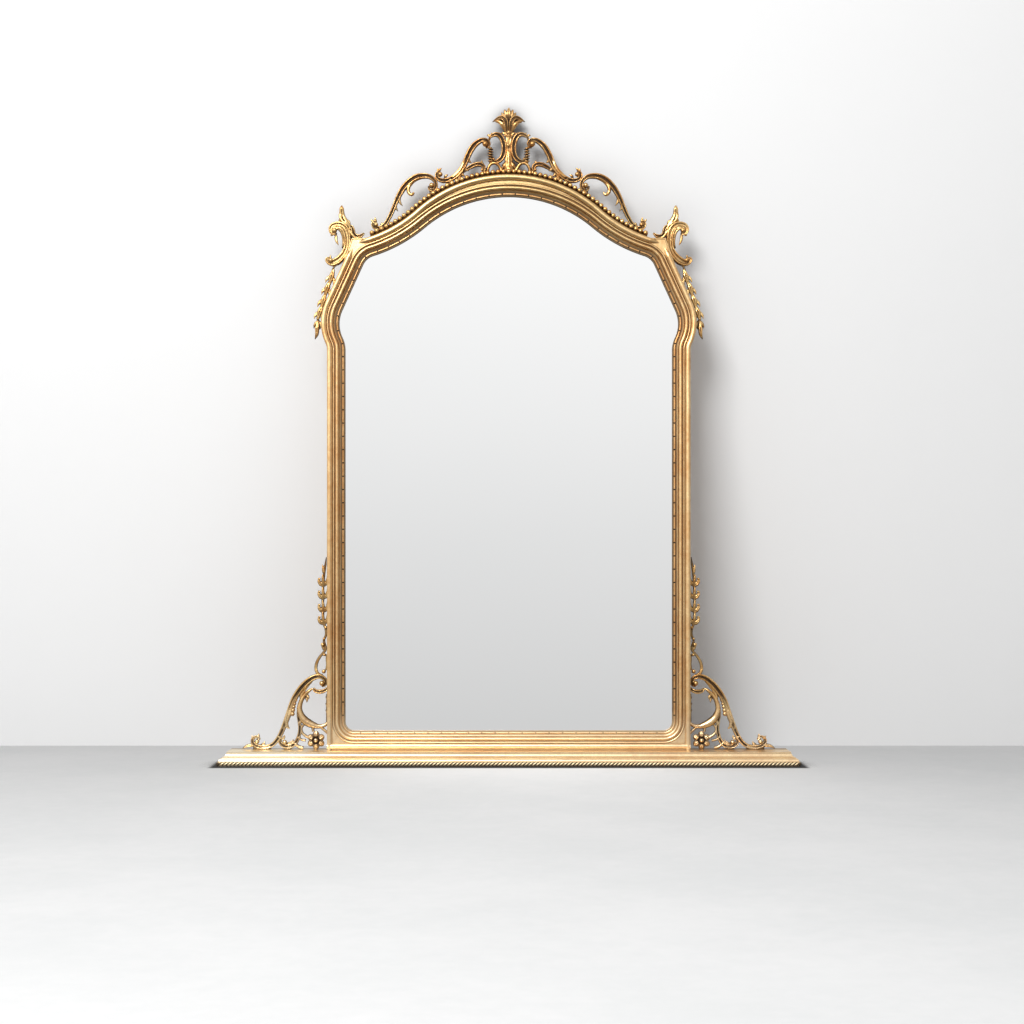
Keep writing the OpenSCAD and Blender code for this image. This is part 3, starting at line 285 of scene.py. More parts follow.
@dataclass(frozen=True)
class Gilding:
    """Old gold leaf over red bole and gesso; its hollows darken to a brown that is partly its own toning and
    partly painted shade.

    A mask rises about its _edge, _x, _y or _z over the width of its _run, to the strength of its _share.
    Places and reaches are in metres.
    """

    name: str
    bright: Colour = srgb(252, 220, 162)
    deep: Colour = srgb(210, 163, 102)
    bole: Colour = srgb(150, 88, 50)
    # Brown of the hollows: the gilding's own toning, which also stands for painted shade there.
    umber_and_shade: Colour = srgb(50, 32, 14)
    # Dark of the receding side walls: painted shade, and also the dark paint of the sides.
    dark_sides_and_shade: Colour = srgb(44, 26, 11)
    hollow_reach: float = 0.007
    hollow_edge: float = 0.30
    hollow_run: float = 0.40
    hollow_share: float = 0.92
    local: bool = True
    smooth: float = 0.24
    wear: float = 0.25
    grain: float = 0.22
    wall_y: float = 0.030
    wall_run: float = 0.014
    wall_share: float = 0.80
    foot_z: float = 0.0
    foot_run: float = 0.003
    # Painted light near the bottom and at the left: these masks make the leaf paler and lessen the painted
    # shade.
    low_z: float = 0.10
    low_run: float = 0.06
    low_share: float = 0.36
    low_less_shade: float = 0.5
    left_x: float = -0.44
    left_run: float = 0.12
    left_share: float = 0.0
    # Pale of the painted light near the bottom and at the left.
    pale: Colour = srgb(255, 242, 210)
    high_z: float = 1.18
    high_run: float = 0.24
    high_share: float = 0.0
    olive: Colour = srgb(196, 174, 122)
    grooved: bool = False
    groove_edge: float = 0.36
    groove_run: float = 0.32
    back_y: float = 0.0418
    back_run: float = 0.0010
    timber: Colour = srgb(176, 138, 96)
    timber_lines: Colour = srgb(126, 92, 58)
    relief: float = 0.0006

    def material(self) -> bpy.types.Material:
        """Paints the gilding; faces at the frame's back are bare, darkened pine.

        Returns:
            The finished material.
        """
        paint = Paint(self.name)
        place = paint.place()
        side, depth, up = (paint.axis(place, letter) for letter in "XYZ")
        cloud = paint.noise(place, scale=14.0, detail=3.0)
        patches = paint.noise(place, scale=90.0, detail=5.0, roughness=0.6)
        specks = paint.noise(place, scale=520.0, detail=3.0, roughness=0.65)
        streaks = paint.noise(paint.stretched(place, (1.0, 1.0, 0.06)), scale=300.0, detail=3.0)
        ragged = patches - 0.5

        # Painted light: the leaf turns paler near the bottom and at the left, as if lit more strongly there.
        low = 1.0 - up.above(self.low_z, self.low_run)
        high = up.above(self.high_z, self.high_run) * self.high_share
        left = (1.0 - side.above(self.left_x, self.left_run)) * self.left_share
        tone = cloud * 0.5 + patches * 0.4 + streaks * 0.25
        leaf = paint.mix(tone.above(edge=0.58, softness=0.42), self.deep, self.bright)
        leaf = paint.mix(low * (left + self.low_share), leaf, self.pale)
        leaf = paint.mix(high, leaf, self.olive)

        # Painted shade: hollows found by ambient occlusion darken towards brown, partly the gilding's own
        # toning.
        open_share = paint.crevices(self.hollow_reach, self.local)
        sunk = (1.0 - open_share + ragged * 0.25).above(self.hollow_edge, self.hollow_run)
        # Painted shade: side walls darken as they recede towards the back, standing also for the dark paint
        # of the sides.
        aside = (depth + ragged * (self.wall_run * 0.5)).above(self.wall_y, self.wall_run)
        # Painted shade: the lowest millimetres darken, as a contact shadow at the foot.
        under = 1.0 - up.above(self.foot_z, self.foot_run)
        # Painted shade: the rope's grooves darken by how deep they lie.
        if self.grooved:
            mark = paint.node("ShaderNodeAttribute", {"attribute_name": Rope.mark}, {}, "Fac")
            sunk = 1.0 - (1.0 - sunk) * (1.0 - mark.above(self.groove_edge, self.groove_run))
        # Where that painted light falls, the painted shade in hollows and on the sides is lessened.
        clean = (1.0 - low * self.low_less_shade) * (1.0 - low * left)
        sunk = sunk * clean * self.hollow_share
        edge = 1.0 - (1.0 - aside * self.wall_share * clean) * (1.0 - under)
        hollow = 1.0 - (1.0 - sunk) * (1.0 - edge)

        proud = open_share * 0.35 + specks * 0.65 + cloud * 0.25
        rubbed = proud.above(edge=0.86, softness=0.10) * self.wear
        gold = paint.mix(rubbed, leaf, self.bole)
        toned = paint.mix(edge, paint.mix(sunk, gold, self.umber_and_shade), self.dark_sides_and_shade)
        back = depth.above(self.back_y, self.back_run)
        grain = paint.noise(paint.stretched(place, (1.0, 1.0, 0.08)), scale=160.0, detail=4.0)
        wood = paint.mix(grain.above(edge=0.5, softness=0.5), self.timber, self.timber_lines)
        rough = self.smooth + patches * 0.20 + hollow * 0.30 + rubbed * 0.25
        return paint.dress(
            Base_Color=paint.mix(back, toned, wood),
            Metallic=(1.0 - back) * (1.0 - hollow * 0.6) * (1.0 - rubbed * 0.8),
            Roughness=rough + back * 0.3,
            Normal=paint.bump(patches * 0.6 + specks * 0.4, self.grain, self.relief),
        )


@dataclass(frozen=True)
class SilveredGlass:
    """Mirror glass seen from the front, with its painted silvering behind."""

    name: str = "mirror"

    def material(self) -> bpy.types.Material:
        """Paints a clear mirror that is a little duller along its faint clouds.

        Returns:
            The finished material.
        """
        paint = Paint(self.name)
        haze = paint.noise(paint.place(), scale=3.0, detail=2.0)
        return paint.dress(
            Base_Color=paint.mix(haze, srgb(252, 253, 253), srgb(254, 254, 254)),
            Metallic=1.0,
            Roughness=haze * 0.010 + 0.004,
        )


@dataclass(frozen=True)
class SawnTimber:
    """Planed softwood or beech with darker growth lines."""

    name: str
    light: Colour
    dark: Colour
    lines: float = 34.0
    relief: float = 0.0006

    def material(self) -> bpy.types.Material:
        """Paints the grain along the height of the piece.

        Returns:
            The finished material.
        """
        paint = Paint(self.name)
        place = paint.place()
        long = paint.stretched(place, (1.0, 1.0, 0.07))
        figure = paint.noise(long, self.lines, detail=5.0, roughness=0.6)
        pores = paint.noise(paint.stretched(place, (1.0, 1.0, 0.05)), scale=700.0, detail=2.0)
        stain = paint.noise(place, scale=4.0, detail=3.0)
        growth = (figure * 0.8 + pores * 0.2).above(edge=0.5, softness=0.4)
        wood = paint.mix(growth, self.light, self.dark)
        return paint.dress(
            Base_Color=paint.mix(stain.above(edge=0.62, softness=0.3) * 0.4, wood, self.dark),
            Roughness=0.55 + pores * 0.3,
            Normal=paint.bump(figure * 0.7 + pores * 0.3, 0.3, self.relief),
        )


@dataclass(frozen=True)
class PlatedSteel:
    """Bright zinc or brass plate with dull spots."""

    name: str
    clean: Colour
    dull: Colour
    relief: float = 0.0002

    def material(self) -> bpy.types.Material:
        """Paints the plating and its spots.

        Returns:
            The finished material.
        """
        paint = Paint(self.name)
        spots = paint.noise(paint.place(), scale=260.0, detail=4.0, roughness=0.6)
        dull = spots.above(edge=0.56, softness=0.2)
        return paint.dress(
            Base_Color=paint.mix(dull, self.clean, self.dull),
            Metallic=1.0,
            Roughness=0.25 + dull * 0.25,
            Normal=paint.bump(spots, 0.15, self.relief),
        )


class Finish(Enum):
    """The record's material slots."""

    FRAME = "gilt_frame"
    TRIM = "gilt_trim"
    ORNAMENT = "gilt_ornament"
    MIRROR = "mirror"
    BOARD = "pine_board"
    DOWEL = "beech_dowel"
    STEEL = "steel"
    RING = "ring_steel"


class Palette:
    """All finishes of the mirror, painted once."""

    def __init__(self) -> None:
        """Paints every finish."""
        finishes = {
            Finish.FRAME: Gilding(
                "gilt_frame", bright=srgb(255, 222, 166), deep=srgb(224, 170, 111), umber_and_shade=srgb(112, 72, 36),
                hollow_edge=0.34, local=False, wall_y=0.0204, wall_run=0.0012, left_share=0.55,
                high_share=0.5),
            Finish.TRIM: Gilding(
                "gilt_trim", bright=srgb(246, 200, 140), deep=srgb(200, 146, 90), umber_and_shade=srgb(34, 19, 8),
                hollow_reach=0.006, hollow_edge=0.17, hollow_run=0.18, hollow_share=1.0, local=False,
                wall_y=0.0197, wall_run=0.0008, wall_share=0.96, low_less_shade=0.75),
            Finish.ORNAMENT: Gilding(
                "gilt_ornament", bright=srgb(255, 220, 152), deep=srgb(196, 134, 70), umber_and_shade=srgb(50, 24, 9),
                hollow_reach=0.009, hollow_edge=0.14, hollow_run=0.24, hollow_share=0.97, smooth=0.17,
                grain=0.3, wall_y=0.0279, wall_run=0.0026, wall_share=0.92, low_z=0.12, low_run=0.12,
                low_less_shade=0.1, high_z=1.30, high_run=0.10, high_share=0.32, olive=srgb(178, 112, 54)),
            Finish.MIRROR: SilveredGlass(),
            Finish.BOARD: SawnTimber("pine_board", srgb(214, 178, 128), srgb(168, 122, 76)),
            Finish.DOWEL: SawnTimber("beech_dowel", srgb(222, 186, 144), srgb(190, 148, 106), lines=60.0),
            Finish.STEEL: PlatedSteel("steel", srgb(186, 188, 190), srgb(126, 124, 120)),
            Finish.RING: PlatedSteel("ring_steel", srgb(206, 180, 120), srgb(140, 112, 64)),
        }
        special = {
            "bead_row": Gilding(
                "gilt_beads", bright=srgb(255, 214, 142), deep=srgb(198, 134, 66), umber_and_shade=srgb(46, 22, 8),
                hollow_reach=0.004, hollow_edge=0.19, hollow_run=0.20, hollow_share=1.0, smooth=0.16),
            # Painted shade: the bed behind the beads is dark brown, so that the gaps between them read as
            # deep shade.
            "bead_fillet": Gilding("bead_bed_shade", bright=srgb(96, 66, 34), deep=srgb(60, 38, 18), smooth=0.5),
            # The rope carries painted shade in its grooves and along its foot.
            "rope_strands": Gilding(
                "gilt_rope", bright=srgb(255, 236, 190), deep=srgb(236, 196, 136), umber_and_shade=srgb(44, 28, 14),
                hollow_reach=0.003, hollow_edge=0.3, smooth=0.3, foot_z=0.0018, low_less_shade=0.0,
                grooved=True),
        }
        self.materials = {finish: looks.material() for finish, looks in finishes.items()}
        self.special = {name: looks.material() for name, looks in special.items()}

    def dress(self, piece: bpy.types.Object, finish: Finish) -> None:
        """Gives a piece its own material if it has one, and that of its finish otherwise."""
        piece.data.materials.clear()
        piece.data.materials.append(self.special.get(piece.name) or self.materials[finish])


# ---- Carved ornament ----


class Section(Enum):
    """Cross-sections of a carved stroke: share of its half width across, and towards the viewer."""

    REEDED = (
        (-1.0, -0.85), (1.0, -0.85), (1.0, 0.25), (0.86, 0.66), (0.62, 0.8), (0.40, 0.62), (0.16, 0.22),
        (-0.16, 0.22), (-0.40, 0.62), (-0.62, 0.8), (-0.86, 0.66), (-1.0, 0.25))
    COVED = (
        (-1.0, -0.85), (1.0, -0.85), (1.0, 0.3), (0.85, 0.68), (0.6, 0.74), (0.25, 0.44), (-0.25, 0.44),
        (-0.6, 0.74), (-0.85, 0.68), (-1.0, 0.3))
    LEAF = (
        (-0.9, -0.8), (0.9, -0.8), (1.0, 0.1), (0.62, 0.62), (0.2, 0.7), (0.0, 0.3), (-0.2, 0.7),
        (-0.62, 0.62), (-1.0, 0.1))
    ROUND = (
        (-0.7, -0.85), (0.7, -0.85), (1.0, -0.3), (0.98, 0.2), (0.72, 0.72), (0.28, 0.98), (-0.28, 0.98),
        (-0.72, 0.72), (-0.98, 0.2), (-1.0, -0.3))


@dataclass(frozen=True)
class Origin:
    """A named point of the frame from which a carving is drawn, in millimetres."""

    x: float
    z: float


CROWN = Origin(0.0, 1332.0)
EAR = Origin(355.0, 1188.6)
FOOT = Origin(411.0, 30.0)

# The frame's back, how far the relief's middle stands before it, and how close points merge: all in
# millimetres. BALL is the fineness of a round boss.
BACK_Y = 43.0
RELIEF = 13.0
MERGE = 0.001
BALL = {"u_segments": 18, "v_segments": 12}


def linked(name: str, data: bpy.types.ID) -> bpy.types.Object:
    """Makes an object and links it to the scene.

    Args:
        name: The object's name.
        data: The mesh, curve, camera or lamp that it holds.

    Returns:
        The object.
    """
    made = bpy.data.objects.new(name, data)
    bpy.context.scene.collection.objects.link(made)
    return made


def mesh_of(shape: bmesh.types.BMesh, name: str) -> bpy.types.Mesh:
    """Turns a bmesh into a mesh and frees it.

    Args:
        shape: The bmesh.
        name: The mesh's name.

    Returns:
        The mesh.
    """
    mesh = bpy.data.meshes.new(name)
    shape.to_mesh(mesh)
    shape.free()
    return mesh


def taken_from(holder: bpy.types.Object) -> bpy.types.Mesh:
    """Takes the final mesh of a curve's or a modified mesh's object, and removes the object.

    Args:
        holder: The object.

    Returns:
        Its mesh, with everything applied.
    """
    graph = bpy.context.evaluated_depsgraph_get()
    mesh = bpy.data.meshes.new_from_object(holder.evaluated_get(graph))
    bpy.data.objects.remove(holder)
    return mesh


def sweep_of(name: str, section: Sequence[tuple[float, float]]) -> bpy.types.Curve:
    """Starts a curve that sweeps a closed section along its splines and closes their ends.

    Args:
        name: The curve's name.
        section: Points of the section: across, and towards the viewer.

    Returns:
        The curve, still without splines.
    """
    flat = bpy.data.curves.new(f"{name}_section", "CURVE")
    flat.dimensions = "2D"
    ring = flat.splines.new("POLY")
    ring.points.add(len(section) - 1)
    for point, (across, out) in zip(ring.points, section):
        point.co = (across, out, 0.0, 1.0)
    ring.use_cyclic_u = True
    data = bpy.data.curves.new(name, "CURVE")
    data.dimensions = "3D"
    data.use_fill_caps = True
    data.bevel_mode = "OBJECT"
    data.bevel_object = linked(flat.name, flat)
    return data


def add_sweep(shape: bmesh.types.BMesh, data: bpy.types.Curve) -> None:
    """Adds what a sweeping curve draws to a bmesh, and removes its objects.

    Args:
        shape: The bmesh that takes the sweep.
        data: The curve.
    """
    section = data.bevel_object
    swept = taken_from(linked(data.name, data))
    shape.from_mesh(swept)
    bpy.data.meshes.remove(swept)
    bpy.data.objects.remove(section)


class Carving:
    """One casting of the ornament: strokes, leaves and bosses that are fused into one closed skin."""

    def __init__(self, name: str, origin: Origin, voxel: float = 0.8, fullness: float = 1.1) -> None:
        """Starts an empty carving.

        Args:
            name: Name of the piece, without its side.
            origin: Point of the frame from which it is drawn.
            voxel: Fineness of the fused skin in millimetres.
            fullness: Size of its strokes as a share of the drawn widths.
        """
        self.name = name
        self.origin = origin
        self.voxel = voxel
        self.fullness = fullness
        self.strokes: dict[Section, list[Stroke]] = {section: [] for section in Section}
        self.bosses: list[tuple[Vector, Vector, float]] = []

    def stroke(self, points: Stroke, section: Section = Section.REEDED) -> "Carving":
        """Adds a stroke through points of x, z, half width and, where it rises, lift."""
        self.strokes[section].append(points)
        return self

    def leaf(self, root: tuple[float, float], tip: tuple[float, float], width: float, bow: float = 0.0,
             lift: float = 0.0) -> "Carving":
        """Adds a leaf with a vein.

        Args:
            root: Where the leaf leaves its stem.
            tip: The leaf's point.
            width: Half of its greatest width.
            bow: How far its middle stands aside of the straight, as a share of its length.
            lift: How far its tip stands forward.

        Returns:
            The carving itself.
        """
        start, end = Vector(root), Vector(tip)
        run = end - start
        side = Vector((-run.y, run.x)) * bow
        shares = ((0.0, 0.45), (0.3, 1.0), (0.65, 0.8), (1.0, 0.18))
        points = []
        for share, size in shares:
            spot = start + run * share + side * math.sin(math.pi * share)
            points.append((spot.x, spot.y, width * size, lift * share))
        return self.stroke(points, Section.LEAF)

    def boss(self, x: float, z: float, radius: float, flat: float = 0.95, lift: float = 1.5,
             squeeze: float = 1.0, turn: float = 0.0) -> "Carving":
        """Adds a round boss.

        Args:
            x: Distance outwards from the origin.
            z: Height over the origin.
            radius: Radius across.
            flat: Depth as a share of the radius.
            lift: How far its middle stands forward of the relief's middle.
            squeeze: Height as a share of the radius.
            turn: Angle in degrees by which a squeezed boss leans.

        Returns:
            The carving itself.
        """
        self.bosses.append((Vector((x, z, lift)), Vector((radius, radius * squeeze, radius * flat)), turn))
        return self

    def _drawn(self) -> bmesh.types.BMesh:
        """Sweeps the strokes and adds the bosses, in millimetres on the face.

        Returns:
            The drawn shape.
        """
        shape = bmesh.new()
        for section, strokes in self.strokes.items():
            if not strokes:
                continue
            data = sweep_of(self.name, section.value)
            data.twist_mode = "Z_UP"
            data.resolution_u = 6
            for points in strokes:
                spline = data.splines.new("BEZIER")
                spline.bezier_points.add(len(points) - 1)
                for handle, (x, z, width, *lift) in zip(spline.bezier_points, points):
                    handle.co = (x, z, lift[0] if lift else 0.0)
                    handle.radius = width * self.fullness
                    handle.handle_left_type = handle.handle_right_type = "AUTO"
            add_sweep(shape, data)
        bmesh.ops.remove_doubles(shape, verts=shape.verts, dist=MERGE)
        bmesh.ops.recalc_face_normals(shape, faces=shape.faces)
        for middle, size, turn in self.bosses:
            place = Matrix.Translation(middle) @ Matrix.Rotation(math.radians(turn), 4, "Z")
            bmesh.ops.create_uvsphere(
                shape, **BALL, radius=1.0, matrix=place @ Matrix.Diagonal(size.to_4d()))
        return shape

    def fused(self) -> bpy.types.Mesh:
        """Fuses the drawing into one closed skin, in place for the right side and in metres.

        Returns:
            The skin.
        """
        shape = self._drawn()
        middle = Vector((self.origin.x, BACK_Y - RELIEF, self.origin.z)) * MM
        matrix = Matrix.Translation(middle) @ Matrix.Rotation(math.pi / 2, 4, "X") @ Matrix.Scale(MM, 4)
        bmesh.ops.transform(shape, matrix=matrix, verts=shape.verts)
        rough = mesh_of(shape, self.name)
        holder = linked(self.name, rough)
        remesh = holder.modifiers.new("fuse", "REMESH")
        remesh.mode = "VOXEL"
        remesh.voxel_size = self.voxel * MM
        soften = holder.modifiers.new("soften", "SMOOTH")
        soften.factor = 0.5
        soften.iterations = 2
        skin = taken_from(holder)
        bpy.data.meshes.remove(rough)
        return skin


class Shop:
    """Sets finished pieces on their bodies and reports them."""

    def __init__(self, palette: Palette) -> None:
        """Keeps the finishes."""
        self.palette = palette
        self.count = 0

    def set_piece(self, name: str, mesh: bpy.types.Mesh, nodes: Sequence[str], finish: Finish) -> None:
        """Puts a finished mesh in the scene, on the frame's body.

        Args:
            name: Name of the piece.
            mesh: Its mesh, in place.
            nodes: The frame's nodes for which it stands.
            finish: Its finish.
        """
        for face in mesh.polygons:
            face.use_smooth = True
        mesh.name = name
        piece = linked(name, mesh)
        self.palette.dress(piece, finish)
        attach(piece, "frame")
        if nodes:
            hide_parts(*nodes)
        self.count += 1
        LOG.info("%s: %d faces, for %s", name, len(mesh.polygons), ", ".join(nodes) or "itself")

    def set_carving(self, carving: Carving, paired: bool = True) -> None:
        """Sets a carving for the node of its name.

        Args:
            carving: The carving, drawn for the right side.
            paired: Whether its mirror image is set on the left as well.
        """
        skin = carving.fused()
        if not paired:
            self.set_piece(f"{carving.name}_carving", skin, [carving.name], Finish.ORNAMENT)
            return
        mirrored = bmesh.new()
        mirrored.from_mesh(skin)
        bmesh.ops.scale(mirrored, vec=(-1, 1, 1), verts=mirrored.verts)
        bmesh.ops.reverse_faces(mirrored, faces=mirrored.faces)
        left = mesh_of(mirrored, carving.name)
        self.set_piece(f"right_{carving.name}_carving", skin, [f"right_{carving.name}"], Finish.ORNAMENT)
        self.set_piece(f"left_{carving.name}_carving", left, [f"left_{carving.name}"], Finish.ORNAMENT)


@dataclass
class Crest:
    """The cresting over the arch: finial, spine, C-scrolls, balusters and two pairs of wings."""

    ring_count: int = 6
    ring_pitch: float = 5.8
    ring_radius: float = 7.6
    ring_taper: float = 0.25
    baluster_x: float = 41.5
    baluster_z: float = 33.5

    def finial(self) -> Carving:
        """A tulip of two petals under a small fan, on a calyx.

        Returns:
            The carving.
        """
        cut = Carving("crest_finial", CROWN, 0.7)
        cut.stroke(((0, 128, 3.4, 2), (0, 140, 4.6, 4), (0, 149.5, 3.8, 3), (0, 156, 0.8, 1)), Section.LEAF)
        for side in (-1, 1):
            cut.stroke(((side * 2, 128, 3, 2), (side * 6, 139, 4, 3), (side * 8.4, 147, 3, 2),
                        (side * 9.4, 152, 0.8, 1)), Section.LEAF)
            cut.stroke(((side * 4, 126, 3, 2), (side * 10.5, 135, 3.8, 3), (side * 14.4, 141, 2.8, 2),
                        (side * 16.4, 145, 0.8, 1)), Section.LEAF)
            cut.stroke(((side * 3.6, 101, 3, 2), (side * 5, 112, 4.4, 4), (side * 6.4, 122, 5.2, 5),
                        (side * 12, 130.5, 5.4, 5), (side * 20, 132, 4.2, 4), (side * 29, 128, 2.8, 2),
                        (side * 37, 123.5, 0.8, 0)), Section.REEDED)
            cut.stroke(((side * 6.4, 101, 3, 1), (side * 10.4, 110, 4.2, 2), (side * 15, 118, 5, 3),
                        (side * 22, 123.5, 4, 2), (side * 30, 124.5, 2, 1)), Section.ROUND)
            cut.leaf((side * 2, 94), (side * 14, 101), 3.6, -side * 0.12, 2)
            cut.leaf((side * 2, 92), (side * 7, 104), 3, 0.0, 3)
            cut.leaf((side * 3, 90), (side * 12, 92), 2.8, side * 0.1, 2)
        cut.boss(0, 92, 6, 0.9, 1, 0.6)
        cut.boss(0, 127, 6, 0.6, 0, 1.3)
        cut.boss(0, 112, 4, 0.6, -4, 2.6)
        return cut.boss(0, 99, 4.4, 0.9, 3, 1.2)

    def spine(self) -> Carving:
        """The stem between the C-scrolls, on a fluted shell.

        Returns:
            The carving.
        """
        cut = Carving("crest_spine", CROWN, 0.7, fullness=1.2)
        cut.stroke(((0, 91, 5, -1), (0, 80, 4, -1), (0, 64, 3, -2), (0, 50, 4.6, -1), (0, 34, 6, -1),
                    (0, 16, 9, -2), (0, 0, 9, -3)), Section.ROUND)
        for side in (-1, 1):
            cut.stroke(((side * 4.6, 90, 2.2), (side * 4.4, 80, 2.5, 1), (side * 3, 71, 2.2, 1),
                        (side * 3.4, 62, 2), (side * 2.6, 54, 2.6, 1), (side * 4, 44, 3, 1),
                        (side * 7, 34, 2.6, 1)), Section.ROUND)
            cut.stroke(((side * 2.2, 32, 2.2, 3), (side * 5, 22, 3, 4), (side * 8.4, 12.5, 2.6, 2)),
                       Section.ROUND)
            cut.stroke(((side * 4.4, 33, 2.2, 2), (side * 10, 24, 3, 3), (side * 15.6, 16, 2.6, 1)),
                       Section.ROUND)
            cut.leaf((side * 5, 36), (side * 18, 25), 2.6, -side * 0.16, 1)
        cut.stroke(((0, 56, 1.6, 3), (0, 44, 3, 3), (0, 34, 3, 3), (0, 22, 3.2, 5), (0, 11, 2.8, 3)),
                   Section.ROUND)
        cut.boss(0, 70, 3, 1, 2)
        cut.boss(0, 33, 5, 0.8, 2, 0.6)
        return cut.stroke(((-15, 8, 4.2, 0), (0, 9, 5, 1), (15, 8, 4.2, 0)), Section.ROUND)

    def scroll(self) -> Carving:
        """The C-scroll beside the spine, with the low arch and the leaf under the wing.

        Returns:
            The carving.
        """
        cut = Carving("crest_scroll", CROWN, 0.7, fullness=1.2)
        cut.stroke(((44, 82, 1.6), (43, 88, 2.4, 1), (37, 93, 3.4, 1), (27, 95, 4.4, 1), (18.5, 90, 5),
                    (13, 79, 5.2), (10.8, 65, 5.2), (11.6, 53, 5.2), (16, 42, 5), (23.5, 35, 4.4, 1),
                    (32, 33, 3.6, 1), (37.5, 38, 2.6, 1), (36, 43, 1.6, 1)))
        cut.boss(34.5, 39, 3, 1, 2)
        cut.leaf((40, 88), (50, 93), 2.8, 0.2, 2)
        cut.leaf((36, 91), (41, 99), 2.4, 0.1, 2)
        cut.leaf((22, 92), (12, 97), 2.6, -0.2, 1)
        cut.stroke(((47, -2, 3.4), (48, 10, 3), (45, 22, 2.8, 1), (37, 29.5, 2.8, 1), (27, 28, 2.8, 1),
                    (20, 20, 3), (15, 8, 3.4), (14, -6, 3.4)), Section.ROUND)
        cut.stroke(((104, 8, 1.6), (96, 15.5, 3), (86, 22, 4), (75, 26.5, 4.4, 1), (64, 27, 4.4, 1),
                    (57.5, 22, 4.2, 1), (56.5, 14, 3.2, 2), (60, 11, 1.8, 2)))
        cut.boss(60.5, 14.5, 3.2, 1, 3)
        cut.leaf((72, 26), (80, 32), 2.6, -0.2, 2)
        cut.leaf((62, 27), (62, 36), 2.6, 0.1, 2)
        return cut.stroke(((56, 16, 3), (54, 8, 3.4), (53, -3, 3.8), (52, -12, 3.8)), Section.ROUND)

    def baluster(self) -> Carving:
        """A short turned column of slanting rings.

        Returns:
            The carving.
        """
        cut = Carving("crest_baluster", CROWN, 0.6)
        x = self.baluster_x
        top = self.baluster_z + self.ring_pitch * (self.ring_count - 1)
        core = ((x, self.baluster_z - 4, 3), (x, (self.baluster_z + top) / 2, 3.2), (x, top + 4, 3))
        cut.stroke(core, Section.ROUND)
        for ring in range(self.ring_count):
            radius = self.ring_radius - self.ring_taper * abs(ring - (self.ring_count - 1) / 2)
            z = self.baluster_z + ring * self.ring_pitch
            cut.boss(x, z, radius, flat=0.9, lift=1.0, squeeze=0.27, turn=14)
        return cut

    def inner_wing(self) -> Carving:
        """The upper wing: a reeded band from its volute down to the arch and on to a ball.

        Returns:
            The carving.
        """
        cut = Carving("inner_wing", CROWN, 0.8)
        cut.stroke(((52, 64.5, 2), (45.5, 69, 2.8, 1), (45, 76.5, 3.4, 1), (51, 82, 4, 1),
                    (60, 82.5, 4.8, 1), (70.5, 77.5, 5.6), (79.5, 69.5, 6.2), (87, 58.5, 6.4),
                    (93.5, 45.5, 6.2), (99, 32, 6), (106, 18.5, 6), (115.5, 6.5, 5.8), (127.5, -3.5, 5.4),
                    (142, -9, 5), (155, -8.5, 4.6, 1), (163, -1.5, 4, 1), (163, 7, 3.2, 1),
                    (156, 11.5, 2.4, 1)))
        cut.boss(53.6, 73.2, 6.6, 1.05, 3)
        cut.boss(155.5, 4, 5.4, 1.05, 3)
        cut.stroke(((98, 40, 1.6, 1), (103, 28, 3, 2), (110, 15, 3.4, 2), (119, 4, 3.2, 2),
                    (129, -3, 2, 2)), Section.ROUND)
        cut.leaf((92, 44), (84, 30), 3.4, 0.18, 1)
        cut.leaf((100, 24), (90, 12), 3.6, 0.2, 1)
        cut.leaf((108, 12), (98, -1), 3.4, 0.15, 1)
        cut.leaf((146, -4), (137, 3), 3, -0.2, 2)
        cut.leaf((158, 9), (152, 18), 3, -0.2, 3)
        cut.leaf((162, 8), (162, 18), 2.6, 0.1, 3)
        cut.stroke(((112, 4, 5.4, -2), (113, -10, 5.4, -3), (114, -22, 5.4, -3)), Section.ROUND)
        return cut.stroke(((132, -6, 5, -2), (133, -22, 5, -3), (134, -36, 5, -3)), Section.ROUND)

    def outer_wing(self) -> Carving:
        """The lower wing: from its volute over the haunch and down to a knotted leaf.

        Returns:
            The carving.
        """
        cut = Carving("outer_wing", CROWN, 0.8)
        cut.stroke(((182, -22, 1.8), (180.5, -29, 2.6, 1), (173, -31.5, 3.2, 1), (166.5, -26, 3.6, 1),
                    (165.5, -16, 4, 1), (171, -6.5, 4.4, 1), (181, -0.5, 5, 1), (194, 1.2, 5.8),
                    (208, -1, 6.4), (221.5, -8.5, 6.6), (234.5, -20.5, 6.4), (245, -35, 5.8),
                    (253, -50.5, 5.2), (259.5, -66, 4.6), (266, -82, 4.4), (272.5, -95, 4.2),
                    (280.5, -108, 4.2), (289.5, -116, 4.6), (300, -118, 4.6, 1), (308, -112, 4, 2),
                    (306.5, -104, 3, 2), (300, -103, 2, 2)))
        cut.boss(175, -21, 6, 1.05, 3)
        cut.boss(301, -110, 4.8, 1.05, 3.5)
        cut.stroke(((199, -5, 1.6, 1), (212, -9, 3, 1), (222, -17, 3.6, 1), (228, -28, 3.6, 2),
                    (227, -37, 3.6, 2), (220, -42, 3.4, 3), (215, -37, 2, 3)), Section.ROUND)
        cut.leaf((246, -40), (241, -68), 3.4, 0.18, 1)
        cut.leaf((256, -60), (251, -80), 3, 0.16, 1)
        cut.leaf((300, -104), (303, -93), 3, -0.15, 3)
        cut.leaf((306, -104), (313, -97), 2.8, -0.1, 3)
        cut.leaf((292, -113), (288, -104), 2.8, 0.15, 2)
        cut.stroke(((176, -30, 4, -2), (176, -44, 4.4, -3), (176, -56, 4.4, -3)), Section.ROUND)
        return cut.stroke(((290, -118, 4.4, -2), (290, -130, 4.6, -3), (290, -140, 4.6, -3)), Section.ROUND)

